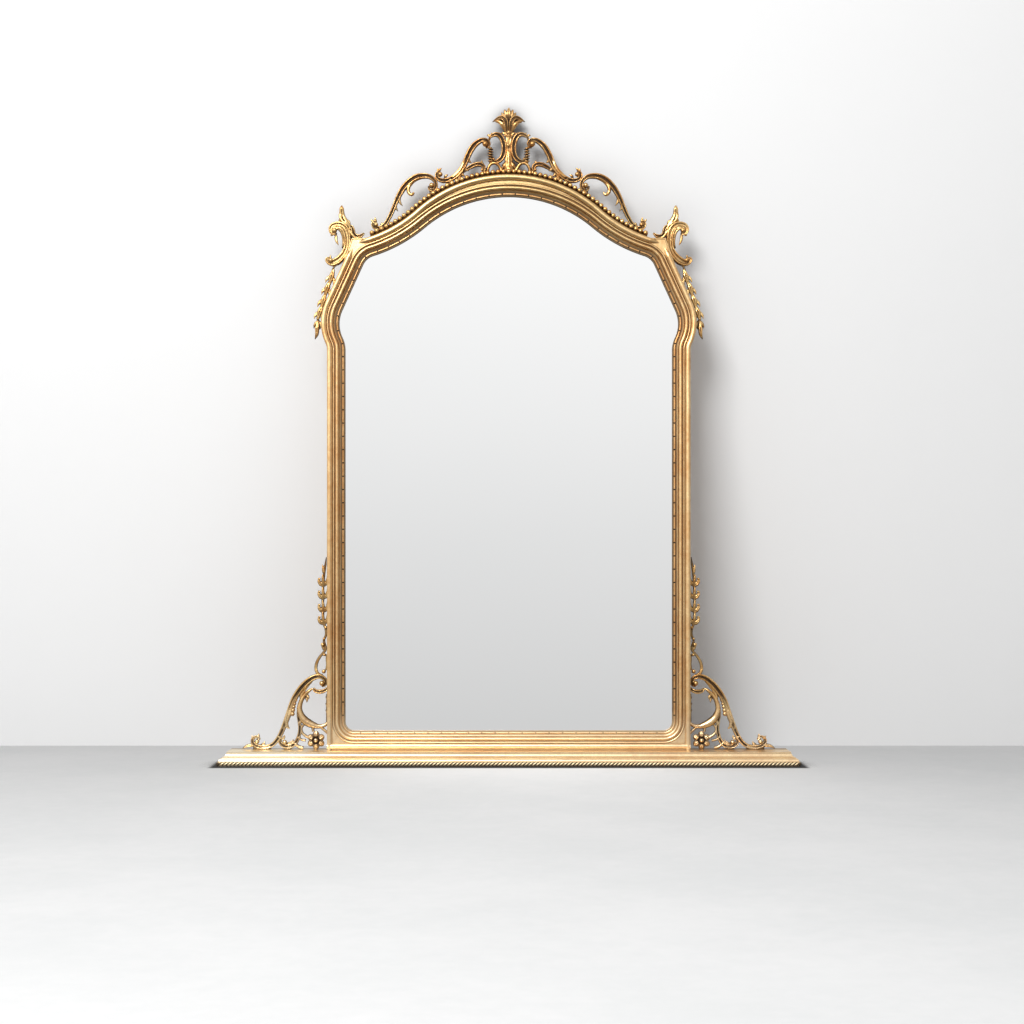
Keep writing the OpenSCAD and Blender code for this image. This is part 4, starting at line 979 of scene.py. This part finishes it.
    def build(self, shop: Shop) -> None:
        """Sets all pieces of the cresting.

        Args:
            shop: The shop that sets the pieces.
        """
        for draw in (self.finial, self.spine):
            shop.set_carving(draw(), paired=False)
        for draw in (self.scroll, self.baluster, self.inner_wing, self.outer_wing):
            shop.set_carving(draw())


@dataclass
class EarOrnament:
    """The scroll at the frame's ear with its pinnacle above and husk drop below."""

    heart_share: float = 0.4
    husks: tuple[tuple[tuple[float, float], ...], ...] = (
        ((42.5, -68), (61.5, -99), (44, -106)), ((52.5, -95), (70.5, -126), (54.5, -131)),
        ((61, -122), (79.5, -154), (63, -160)), ((70, -150), (87, -181), (71.5, -184)))

    def scroll(self) -> Carving:
        """A C-scroll with an acanthus leaf curling over its mouth.

        Returns:
            The carving.
        """
        cut = Carving("ear_scroll", EAR, 0.7, fullness=1.24)
        cut.stroke(((38, 12, 2.2, 3), (45.5, 13.5, 3.4, 3), (49, 21.5, 4.4, 2), (45.5, 29.5, 5.4, 1),
                    (36.5, 33, 6.2), (26, 31.5, 6.8), (17.5, 24.5, 7), (13, 13, 6.6), (11.4, 0, 6),
                    (12.4, -15, 5.8), (16.8, -28.5, 6.2), (24.5, -39.5, 6.8), (34.5, -48.5, 7.2),
                    (45, -52.5, 6.4), (53.5, -51, 5, 1), (57.5, -45.5, 3.6, 2), (52.5, -42.5, 2.4, 2)),
                   Section.COVED)
        cut.boss(40.5, 20, 5.8, 1.05, 3)
        cut.boss(49, -48, 5.4, 1.05, 3)
        cut.stroke(((43, 21, 2, 4), (35, 25, 3.2, 4), (27.5, 21.5, 3.6, 3), (22, 12, 3.6, 2),
                    (20, 0, 3.2, 1), (21, -12, 2.2, 1), (24, -20, 1)), Section.LEAF)
        cut.leaf((37, 15), (31.5, -14), 3, 0.1, 2)
        cut.leaf((43, 16), (50, 8), 3, -0.1, 3)
        cut.leaf((31, -45), (24, -32), 3, 0.2, 1)
        cut.leaf((40, -52), (31.5, -38), 3.2, 0.1, 2)
        return cut.leaf((53, -46), (50, -35), 2.6, 0.1, 2)

    def pinnacle(self) -> Carving:
        """A slim bud over the ear, with leaves that creep along the ledge.

        Returns:
            The carving.
        """
        cut = Carving("ear_pinnacle", EAR, 0.7, fullness=1.2)
        cut.stroke(((24.4, 77, 1.4, 1), (24.6, 70, 4.4, 2), (24.4, 62, 4.8, 1), (23.6, 54, 5.6),
                    (21, 46, 6.8), (16.5, 38.5, 7.2), (11, 31, 6.6), (8, 22, 6)), Section.LEAF)
        cut.stroke(((30, 58, 1.4, 2), (28, 50, 2.4, 3), (22.5, 41, 3, 3), (13, 34, 3, 3),
                    (6, 28, 2.4, 2)), Section.ROUND)
        cut.boss(25, 70, 4.2, 0.9, 2, 0.7)
        cut.leaf((22, 46), (31, 39), 3.4, 0.2, 2)
        cut.leaf((15, 42), (6, 33), 3.6, -0.2, 2)
        cut.stroke(((8, 31, 1.6, 1), (2.5, 29, 3, 1), (-1, 22, 3.6, 1), (-3, 13, 3.8), (-10, 7.5, 3.8),
                    (-18, 8, 3.4, 1), (-24, 12, 2.4, 1), (-27, 14.5, 1.2, 1)))
        cut.stroke(((12, 26, 3.6), (6, 18, 3.8), (0, 10, 3.6), (-6, 4, 3.2), (-13, 1.5, 2.4)),
                   Section.ROUND)
        cut.leaf((-14, 8), (-22, 3), 2.6, 0.2, 1)
        return cut.stroke(((13, 24, 5, -1), (9, 12, 5, -2), (7, -2, 5, -2)), Section.ROUND)

    def husk_drop(self) -> Carving:
        """A falling stem of husks that ends in a drop.

        Returns:
            The carving.
        """
        cut = Carving("husk_drop", EAR, 0.7, fullness=0.95)
        cut.stroke(((36, -55, 3), (43, -64, 2.6), (48, -82, 2.4), (53, -98, 2.4), (59.5, -116, 2.4),
                    (65.5, -134, 2.3), (70.5, -150, 2.2), (75.5, -167, 2.2), (79, -186, 3),
                    (80.4, -202, 5.4, 1), (81, -215, 4.6, 1), (85.5, -227, 1)), Section.LEAF)
        for (x, z), outer, inner in self.husks:
            middle = ((outer[0] + inner[0]) / 2, (outer[1] + inner[1]) / 2)
            heart = (x + (middle[0] - x) * self.heart_share, z + (middle[1] - z) * self.heart_share)
            cut.stroke(((x, z, 2.6, 1), (*heart, 6.6, 2), (*middle, 3.6, 2)), Section.LEAF)
            cut.leaf(heart, outer, 4, 0.14, 3)
            cut.leaf(heart, inner, 3.8, -0.14, 3)
        cut.leaf((76, -184), (88, -203), 3.4, 0.16, 1)
        return cut.leaf((76, -184), (74, -205), 3.2, -0.12, 1)

    def build(self, shop: Shop) -> None:
        """Sets all pieces of both ears."""
        for draw in (self.scroll, self.pinnacle, self.husk_drop):
            shop.set_carving(draw())


@dataclass
class Bracket:
    """The openwork bracket between stile and plinth."""

    petals: int = 6
    rosette_x: float = 27.0
    rosette_z: float = 20.5
    petal_reach: float = 13.6
    petal_radius: float = 7.6
    petal_vein: tuple[tuple[float, float, float], ...] = ((8.5, 3.4, 3), (14, 5, 1.5), (20.5, 3, 0))
    husk_buds: tuple[tuple[float, float, float], ...] = (
        (9, 177, 4.8), (8, 215, 3.6), (11.5, 238, 4.8), (8.6, 251, 3.4), (5, 277, 3.6))
    husk_rises: tuple[float, ...] = (284, 312, 342, 371)
    beads: tuple[tuple[float, float, float], ...] = (
        (70.6, 118, 3.4), (73.2, 111.2, 3.8), (75.6, 104, 4.1), (77.6, 96.6, 4.5), (79.2, 88.8, 4.9),
        (80.4, 80.6, 5.3))

    def scroll(self) -> Carving:
        """The main S-scroll from the stile down to the plinth.

        Returns:
            The carving.
        """
        cut = Carving("bracket_scroll", FOOT, 0.8)
        cut.stroke(((14, 143, 1.8, 1), (7.5, 145.5, 2.8, 1), (4.6, 153, 3.6, 1), (9.5, 161.5, 4.4, 1),
                    (19, 165.5, 5, 1), (31, 163.5, 5.8), (45, 155, 6.4), (58, 142.5, 6.6),
                    (70, 126.5, 6.4), (79.5, 108.5, 6.2), (86, 90.5, 6), (92.5, 72, 5.8), (99, 55, 5.4),
                    (106.5, 37, 5), (115.5, 21.5, 4.8), (127, 10, 4.6), (141, 5.4, 4.6), (155, 6, 4.4, 1),
                    (166.5, 11, 4.2, 1), (171.5, 19, 3.8, 1), (167, 27, 3.4, 2), (158.5, 27.5, 2.8, 2),
                    (154, 22, 2, 3)))
        cut.boss(13.4, 150, 6, 1.05, 3)
        cut.boss(160.4, 18, 5.4, 1.05, 3)
        cut.stroke(((62, 134, 1.6, 1), (73, 117, 3, 1), (84, 96, 3.4, 1), (90, 80, 4.2, 2),
                    (94, 64, 4.4, 2), (92, 52, 3.4, 2), (87, 47, 1.4, 2)), Section.LEAF)
        cut.leaf((96, 66), (101, 44), 3, 0.15, 2)
        cut.stroke(((36, 154, 1.6, 1), (47, 143, 2.8, 1), (56, 130, 3.2, 1), (62, 118, 2.4, 2),
                    (61, 112, 1.4, 2)), Section.LEAF)
        cut.leaf((166, 8), (194, 2), 4.2, 0.12, 1)
        cut.leaf((152, 10), (143, 19), 3.4, 0.2, 2)
        cut.leaf((160, 26), (158, 36), 3.2, 0.15, 3)
        cut.leaf((168, 22), (174, 31), 3, 0.1, 3)
        cut.stroke(((130, 6, 4.6, -2), (142, 3.4, 5.4, -3), (158, 3.4, 5.4, -3), (170, 4, 4, -3)),
                   Section.ROUND)
        return cut

    def wreath(self) -> Carving:
        """The ring beside the stile, its leafy foot and the stem that curls on the plinth.

        Returns:
            The carving.
        """
        cut = Carving("bracket_wreath", FOOT, 0.7)
        cut.stroke(((0.5, 139, 3), (8, 133, 4, 2), (18, 131, 4.6, 3), (28, 133, 4, 2), (33, 139, 2.4, 1)))
        cut.stroke(((35, 138, 1.8, 1), (43, 132.5, 3.2, 2), (51.5, 124.5, 4), (58.5, 114.5, 4.4),
                    (63, 103, 4.8), (64.6, 91, 5.6), (62, 79, 7, -1), (55, 68, 8.2, -2),
                    (45, 60, 8.4, -2), (33.5, 55, 6.8, -1), (21, 52, 4.8), (9, 54, 3.8), (0, 60, 3.2)),
                   Section.ROUND)
        for z in (70, 85, 100):
            cut.leaf((1.5, z), (5.5, z + 20), 2.8, 0.12, 1)
        cut.stroke(((1.6, 126, 2.2, -1), (2.2, 100, 2.2, -1), (2, 70, 2.2, -1), (2, 56, 2.4, -1)),
                   Section.ROUND)
        cut.leaf((52, 118), (48, 106), 2.8, -0.2, 2)
        cut.leaf((50, 124), (44, 113), 3.2, -0.2, 3)
        cut.leaf((58, 66), (64, 54), 3.8, 0.15, 2)
        cut.stroke(((69, 86, 2), (67.5, 76, 3.2), (65, 62, 3.6), (63.5, 46, 3.8), (66, 31, 4),
                    (71.5, 18, 4.4), (80, 9.5, 4.8), (91, 6.4, 5), (102, 9.5, 4.8, 1),
                    (108.5, 17, 3.8, 1), (105, 24, 2.8, 2), (99, 23, 1.8, 3)))
        cut.boss(97.5, 16.5, 5.2, 1.05, 3)
        cut.leaf((94, 12), (84, 19), 3.6, 0.2, 3)
        cut.leaf((88, 9), (78, 24), 3, 0.1, 3)
        cut.leaf((104, 24), (99, 33), 3.2, 0.2, 3)
        cut.leaf((107, 22), (113, 30), 3, 0.1, 3)
        cut.stroke(((54, 58, 2.6), (60, 48, 2.6), (58.5, 38, 2.8), (51, 31, 3), (44, 27, 3)), Section.ROUND)
        cut.stroke(((36, 56, 2.8), (34.5, 48, 3), (33, 40, 3)), Section.ROUND)
        cut.stroke(((17, 52, 2.6), (11, 46, 2.8), (5, 41, 3), (0, 36, 3)), Section.ROUND)
        cut.stroke(((50, 20, 2.6), (60, 22, 2.6), (68, 28, 2.6)), Section.ROUND)
        cut.stroke(((76, 14, 3), (66, 6, 3.4), (56, 3, 3.6)), Section.ROUND)
        return cut.stroke(((82, 8, 4, -2), (90, 4, 5, -3), (100, 4, 4, -3)), Section.ROUND)

    def bead_string(self) -> Carving:
        """Beads that grow down the gap between scroll and ring.

        Returns:
            The carving.
        """
        cut = Carving("bracket_beads", FOOT, 0.6)
        for x, z, radius in self.beads:
            cut.boss(x, z, radius, 1.0, 1.0)
        return cut

    def rosette(self) -> Carving:
        """A rose of cupped petals round a button.

        Returns:
            The carving.
        """
        cut = Carving("rosette", FOOT, 0.7)
        x, z = self.rosette_x, self.rosette_z
        for petal in range(self.petals):
            turn = math.tau * petal / self.petals + math.pi / self.petals
            out, up = math.cos(turn), math.sin(turn)
            cut.boss(x + self.petal_reach * out, z + self.petal_reach * up, self.petal_radius,
                     flat=0.5, lift=0, turn=math.degrees(turn))
            vein = [(x + reach * out, z + reach * up, width, lift) for reach, width, lift in self.petal_vein]
            cut.stroke(vein, Section.LEAF)
        cut.boss(x, z, 10, 0.3, -2)
        return cut.boss(x, z, 5.4, 0.95, 4)

    def rising_husk(self) -> Carving:
        """The looped stem and the rising husks on the stile's edge.

        Returns:
            The carving.
        """
        cut = Carving("rising_husk", FOOT, 0.7)
        cut.stroke(((12, 168, 2.6), (20, 170, 3.2, 1), (26, 178, 3.4, 1), (27, 189, 3.4),
                    (23.5, 201, 3.2), (17.5, 211, 3), (10, 220, 2.8), (5, 228, 2.8), (7, 238, 2.8),
                    (9, 248, 2.6), (5, 258, 2.6), (4.4, 270, 2.8), (8.5, 284, 3), (11, 300, 3),
                    (11.5, 320, 3), (11.5, 345, 2.8), (10.6, 372, 2.6), (8.6, 398, 2.6), (5.6, 420, 2.4),
                    (3.6, 437, 0.9)), Section.LEAF)
        cut.stroke(((3, 216, 2), (2.4, 204, 2.4), (2, 190, 2.4), (4, 180, 2.4)), Section.ROUND)
        for x, z, radius in self.husk_buds:
            cut.boss(x, z, radius, 1.0, 2)
        cut.leaf((6, 224), (13, 241), 3.2, -0.1, 2)
        for z in self.husk_rises:
            cut.leaf((9, z), (21, z + 19), 4.6, -0.18, 2)
            cut.leaf((9, z), (1.5, z + 24), 4.2, 0.16, 2)
            cut.leaf((9.5, z), (12, z + 27), 4, 0.0, 3.5)
            cut.boss(19, z + 16, 2.8, 0.95, 2)
        return cut.leaf((8, 396), (12, 420), 3.6, 0.0, 2)

    def build(self, shop: Shop) -> None:
        """Sets all pieces of both brackets."""
        for draw in (self.scroll, self.wreath, self.bead_string, self.rosette, self.rising_husk):
            shop.set_carving(draw())


@dataclass
class Rope:
    """The rope moulding round the plinth's foot: three strands laid right over left, in millimetres."""

    mark: ClassVar[str] = "groove"
    strands: int = 3
    radius: float = 4.5
    pitch: float = 8.6
    half_length: float = 648.5
    front_y: float = -45.5
    back_y: float = 50.0
    height: float = 5.0
    sides: int = 30
    groove: float = 0.5
    lobe_power: float = 0.6
    step: float = 1.6

    def _section(self) -> list[tuple[float, float]]:
        """Works out the lobed section of the laid strands.

        Returns:
            Its points, in millimetres.
        """
        points = []
        for index in range(self.sides):
            turn = math.tau * index / self.sides
            lobe = abs(math.cos(self.strands * turn / 2)) ** self.lobe_power
            reach = self.radius * (1.0 - self.groove * (1.0 - lobe))
            points.append((reach * math.cos(turn), reach * math.sin(turn)))
        return points

    def _laid(self, shape: bmesh.types.BMesh, start: Vector, end: Vector) -> None:
        """Lays one straight length of rope between two points, as a lobed bar that turns along its length.

        Args:
            shape: The mesh that takes the length.
            start: Middle of its first end, in millimetres.
            end: Middle of its last end.
        """
        data = sweep_of("rope", self._section())
        length = (end - start).length
        steps = max(2, round(length / self.step))
        spline = data.splines.new("POLY")
        spline.points.add(steps)
        for index, point in enumerate(spline.points):
            share = index / steps
            point.co = (*(start.lerp(end, share)), 1.0)
            point.tilt = -math.tau * length * share / (self.pitch * self.strands)
        add_sweep(shape, data)

    def _mark_grooves(self, shape: bmesh.types.BMesh) -> None:
        """Writes how deep each vertex lies in a groove, from 0 on the strands to 1.

        Args:
            shape: The laid rope, in millimetres.
        """
        layer = shape.verts.layers.float.new(self.mark)
        for vert in shape.verts:
            over = vert.co.z - self.height
            from_front = math.hypot(vert.co.y - self.front_y, over)
            from_end = math.hypot(abs(vert.co.x) - self.half_length, over)
            sunk = self.radius - min(from_front, from_end)
            lobe = max(0.0, 1.0 - sunk / (self.radius * self.groove))
            vert[layer] = 1.0 - lobe ** (1 / self.lobe_power)

    def build(self, shop: Shop) -> None:
        """Sets the rope along the front and both ends.

        Args:
            shop: The shop that sets the piece.
        """
        shape = bmesh.new()
        x, z = self.half_length, self.height
        self._laid(shape, Vector((-x, self.front_y, z)), Vector((x, self.front_y, z)))
        for side in (-1, 1):
            corner = Vector((side * x, self.front_y, z))
            self._laid(shape, corner, Vector((side * x, self.back_y, z)))
            bmesh.ops.create_uvsphere(shape, **BALL, radius=self.radius, matrix=Matrix.Translation(corner))
        bmesh.ops.remove_doubles(shape, verts=shape.verts, dist=MERGE)
        bmesh.ops.recalc_face_normals(shape, faces=shape.faces)
        self._mark_grooves(shape)
        bmesh.ops.scale(shape, vec=(MM, MM, MM), verts=shape.verts)
        shop.set_piece("rope_strands", mesh_of(shape, "rope"), ["rope_moulding"], Finish.TRIM)


@dataclass
class EarFades:
    """The ends of the frame's outer band, which die away into the flat of the ears.

    Lengths are in millimetres and the turns in degrees about the right ear's corner.
    """

    corner: tuple[float, float] = (297.1, 1115.63)
    turns: tuple[float, float] = (17.5, 65.5)
    reach: float = 72.0
    length: float = 27.0
    lap: float = 1.5
    radius: float = 7.5
    rest: float = 2.3
    inner: float = -6.4
    outer: float = 4.9
    axis_y: float = 14.5
    stations: int = 12
    sides: int = 28

    def _fade(self, shape: bmesh.types.BMesh, turn: float, way: float, side: int) -> None:
        """Adds one ridge that sinks from the band's height into the flat.

        Args:
            shape: The mesh that takes the ridge.
            turn: Angle of the band's end about the corner's centre.
            way: 1 where the ridge runs on clockwise, and -1 where it runs back.
            side: 1 for the right ear and -1 for the left one.
        """
        out = (math.sin(turn), math.cos(turn))
        run = (way * out[1], -way * out[0])
        loops = []
        for station in range(self.stations + 1):
            along = -self.lap + (self.length + self.lap) * station / self.stations
            share = min(1.0, max(0.0, along / self.length))
            radius = self.rest + (self.radius - self.rest) * (0.5 + 0.5 * math.cos(math.pi * share))
            ring = bmesh.ops.create_circle(
                shape, cap_ends=station in (0, self.stations), segments=self.sides, radius=radius)["verts"]
            loops.append({edge for vert in ring for edge in vert.link_edges})
            for vert in ring:
                across = self.reach + min(self.outer, max(self.inner, vert.co.x))
                x = self.corner[0] + out[0] * across + run[0] * along
                z = self.corner[1] + out[1] * across + run[1] * along
                vert.co = Vector((side * x, self.axis_y - vert.co.y, z)) * MM
        for first, second in zip(loops, loops[1:]):
            bmesh.ops.bridge_loops(shape, edges=[*first, *second])
        # The caps become fans, because some of their points lie in one line.
        bmesh.ops.poke(shape, faces=[face for face in shape.faces if len(face.verts) == self.sides])

    def build(self, shop: Shop) -> None:
        """Sets both ridges of each ear.

        Args:
            shop: The shop that sets the pieces.
        """
        for name, side in (("right_ear_fades", 1), ("left_ear_fades", -1)):
            shape = bmesh.new()
            for turn, way in zip(self.turns, (1, -1)):
                self._fade(shape, math.radians(turn), way, side)
            bmesh.ops.recalc_face_normals(shape, faces=shape.faces)
            shop.set_piece(name, mesh_of(shape, name), [], Finish.FRAME)


@dataclass
class Joinery:
    """The solids of the frame that keep their own shape and only take a finish."""

    timber: tuple[str, ...] = (
        "bottom_rail", "left_stile", "right_stile", "left_neck", "right_neck", "left_knee", "right_knee",
        "left_shoulder", "right_shoulder", "left_ear_block", "right_ear_block", "left_haunch", "right_haunch",
        "arch_crown", "plinth_board")
    trim: tuple[str, ...] = (
        "rail_trim", "left_side_trim", "right_side_trim", "arch_trim", "bead_fillet", "bead_row")
    steel: tuple[str, ...] = (
        "turn_buttons", "turn_button_screws", "plinth_screws", "hanger_screws", "left_hanger_strap",
        "right_hanger_strap")
    rings: tuple[str, ...] = ("left_hanging_ring", "right_hanging_ring")

    def build(self, palette: Palette, nodes: dict[str, bpy.types.Object]) -> None:
        """Dresses the frame's own nodes.

        Args:
            palette: The finishes.
            nodes: The frame's nodes by name.
        """
        groups = (
            (self.timber, Finish.FRAME), (self.trim, Finish.TRIM), (self.steel, Finish.STEEL),
            (self.rings, Finish.RING), (("mirror_glass",), Finish.MIRROR),
            (("backboard",), Finish.BOARD), (("frame_dowels",), Finish.DOWEL))
        for names, finish in groups:
            for name in names:
                palette.dress(nodes[name], finish)
                LOG.info("%s: finished in %s", name, finish.value)


@dataclass
class Studio:
    """Floor, backdrop, lamp and camera.

    The image's side, its focal length and what ends in _px are in pixels, and pixel is one of them in metres
    in the plane of the frame's face. The sensor is in millimetres, and the rest in metres.
    """

    sensor: float = 36.0
    focal_pixels: float = 1765.0
    image_side: float = 1024.0
    pixel: float = 0.002266
    middle_px: float = 508.75
    horizon_px: float = 564.0
    plinth_top_px: float = 749.8
    plinth_top: float = 0.03
    face_y: float = 0.018
    wall_y: float = 0.40
    wall_lean: float = math.radians(13.3)
    plane_size: float = 16.0
    wall_reach: float = 0.055
    wall_depth: float = 0.62
    shade_from: float = 1.0
    shade_rise: float = 0.3
    shade_tone: Colour = srgb(92, 94, 98)
    # The next fields set the painted contact shadow on the floor.
    contact: float = 0.05
    contact_shadow_tone: Colour = srgb(10, 9, 8)
    foot_front: float = -0.082
    foot_side: float = 0.664
    foot_run: float = 0.014
    foot_back: float = 0.07
    sky: float = 0.27
    dim_from: float = 0.45
    dim_run: float = 0.6
    dim_share: float = 0.40
    dim_tone: Colour = srgb(60, 58, 56)
    floor_tone: Colour = srgb(246, 246, 246)
    floor_cloud: Colour = srgb(238, 239, 239)
    wall_tone: Colour = srgb(252, 252, 252)
    wall_cloud: Colour = srgb(249, 249, 249)
    backdrop: Colour = srgb(244, 244, 244)
    white: Colour = srgb(255, 255, 255)
    key_place: tuple[float, float, float] = (-1.35, -4.2, 3.4)
    key_aim: tuple[float, float, float] = (0.0, 0.2, 0.8)
    key_size: float = 2.0
    key_watts: float = 198.0

    def camera(self) -> None:
        """Sets the level camera low in front of the mirror, as the picture has it."""
        data = bpy.data.cameras.new("camera")
        data.sensor_width = self.sensor
        data.lens = self.sensor * self.focal_pixels / self.image_side
        data.shift_x = (self.image_side / 2 - self.middle_px) / self.image_side
        data.shift_y = (self.horizon_px - self.image_side / 2) / self.image_side
        camera = linked("camera", data)
        height = self.plinth_top + (self.plinth_top_px - self.horizon_px) * self.pixel
        camera.location = (0.0, self.face_y - self.focal_pixels * self.pixel, height)
        camera.rotation_euler = (math.pi / 2, 0.0, 0.0)
        bpy.context.scene.camera = camera

    def _plane(self, name: str, matrix: Matrix) -> bpy.types.Object:
        """Makes one square plane of the set.

        Args:
            name: The plane's name.
            matrix: Its place, which goes into its mesh.

        Returns:
            The plane.
        """
        shape = bmesh.new()
        bmesh.ops.create_grid(shape, x_segments=1, y_segments=1, size=self.plane_size / 2, matrix=matrix)
        plane = linked(name, mesh_of(shape, name))
        return plane

    def _floor(self) -> None:
        """Lays the floor: pale, faintly clouded, and with a painted contact shadow where something stands on
        it.
        """
        plane = self._plane("floor", Matrix.Identity(4))
        plane.visible_glossy = False
        paint = Paint("floor")
        place = paint.place()
        clouds = paint.noise(place, scale=2.2, detail=6.0, roughness=0.6)
        spots = paint.noise(place, scale=30.0, detail=4.0, roughness=0.7)
        pale = (clouds * 0.7 + spots * 0.3).above(edge=0.5, softness=0.35)
        tone = paint.mix(pale, self.floor_cloud, self.floor_tone)
        # Painted shadow: darker where the mirror comes near, and in a band under and in front of the plinth's
        # foot.
        near = (1.0 - paint.crevices(self.contact, local=False)).above(edge=0.17, softness=0.20)
        across = paint.node("ShaderNodeMath", {"operation": "ABSOLUTE"}, {0: paint.axis(place, "X")})
        depth = paint.axis(place, "Y")
        under = depth.above(self.foot_front, self.foot_run)
        under = under * (1.0 - depth.above(self.foot_back, self.foot_run * 3))
        under = under * (1.0 - across.above(self.foot_side, self.foot_run))
        painted_contact_shadow = 1.0 - (1.0 - near) * (1.0 - under)
        tone = paint.mix(painted_contact_shadow, tone, self.contact_shadow_tone)
        plane.data.materials.append(paint.dress(Base_Color=tone, Roughness=0.85))

    def _wall(self) -> None:
        """Leans the backdrop over the mirror's back; it shows only from its front."""
        turn = Matrix.Rotation(math.pi / 2 + self.wall_lean, 4, "X")
        plane = self._plane("wall", Matrix.Translation((0.0, self.wall_y, 0.0)) @ turn)
        plane.visible_diffuse = False
        plane.visible_shadow = False
        paint = Paint("wall")
        place = paint.place()
        clouds = paint.noise(place, scale=1.4, detail=5.0, roughness=0.6)
        near = (1.0 - paint.crevices(self.wall_reach, local=False)).above(edge=0.30, softness=0.4)
        shade = near * self.wall_depth * paint.axis(place, "Z").above(self.shade_from, self.shade_rise)
        tone = paint.mix(shade, paint.mix(clouds, self.wall_cloud, self.wall_tone), self.shade_tone)
        material = paint.dress(Base_Color=tone, Roughness=0.9)
        behind = paint.node("ShaderNodeNewGeometry", {}, {}, "Backfacing")
        clear = paint.node("ShaderNodeBsdfTransparent", {}, {})
        shown = Wire(paint, paint.shader.outputs[0])
        paint.blend(behind, shown, clear, paint.tree.nodes["Material Output"])
        plane.data.materials.append(material)

    def _world(self) -> None:
        """Lights the room evenly, and gives metal and glass a room that is bright above and dim below."""
        world = bpy.data.worlds.new("room")
        world.use_nodes = True
        bpy.context.scene.world = world
        room = Tree(world.node_tree)
        way = room.node("ShaderNodeTexCoord", {}, {}, "Generated")
        stops = (
            (0.0, srgb(122, 118, 114)), (0.34, srgb(166, 163, 160)), (0.4558, srgb(210, 210, 210)),
            (0.5068, srgb(226, 226, 226)), (0.5408, srgb(238, 238, 238)), (0.589, srgb(252, 252, 252)),
            (0.72, srgb(250, 250, 250)), (0.94, srgb(200, 200, 200)))
        tone = room.node("ShaderNodeValToRGB", {"stops": stops}, {0: room.axis(way, "Z") * 0.5 + 0.5})
        aside = room.axis(way, "X").above(self.dim_from, self.dim_run) * self.dim_share
        tone = room.mix(aside, tone, self.dim_tone)
        seen = room.node("ShaderNodeBackground", {}, {"Color": tone, "Strength": 1.0})
        even = room.node("ShaderNodeBackground", {}, {"Color": self.white, "Strength": self.sky})
        plain = room.node("ShaderNodeBackground", {}, {"Color": self.backdrop, "Strength": 1.0})
        glossy = room.node("ShaderNodeLightPath", {}, {}, "Is Glossy Ray")
        camera = room.node("ShaderNodeLightPath", {}, {}, "Is Camera Ray")
        lit = room.node("ShaderNodeMixShader", {}, {0: glossy, 1: even, 2: seen})
        room.blend(camera, lit, plain, world.node_tree.nodes["World Output"])

    def _key(self) -> None:
        """Hangs the one soft lamp, high in front and to the left."""
        data = bpy.data.lights.new("key", "AREA")
        data.size = self.key_size
        data.energy = self.key_watts
        lamp = linked("key", data)
        lamp.location = self.key_place
        aim = Vector(self.key_aim) - Vector(self.key_place)
        lamp.rotation_euler = aim.to_track_quat("-Z", "Y").to_euler()

    def build(self) -> None:
        """Sets up the whole studio."""
        bpy.context.scene.view_settings.view_transform = "Standard"
        self.camera()
        self._floor()
        self._wall()
        self._world()
        self._key()
        LOG.info("studio: camera, floor, backdrop and lamp")


def main() -> None:
    """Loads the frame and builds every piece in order."""
    logging.basicConfig(level=logging.INFO, format="%(name)s: %(message)s")
    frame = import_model()
    Studio().build()
    palette = Palette()
    shop = Shop(palette)
    Joinery().build(palette, frame["nodes"])
    Rope().build(shop)
    EarFades().build(shop)
    Crest().build(shop)
    EarOrnament().build(shop)
    Bracket().build(shop)
    LOG.info("%d pieces set", shop.count)


if __name__ == "__main__":
    main()
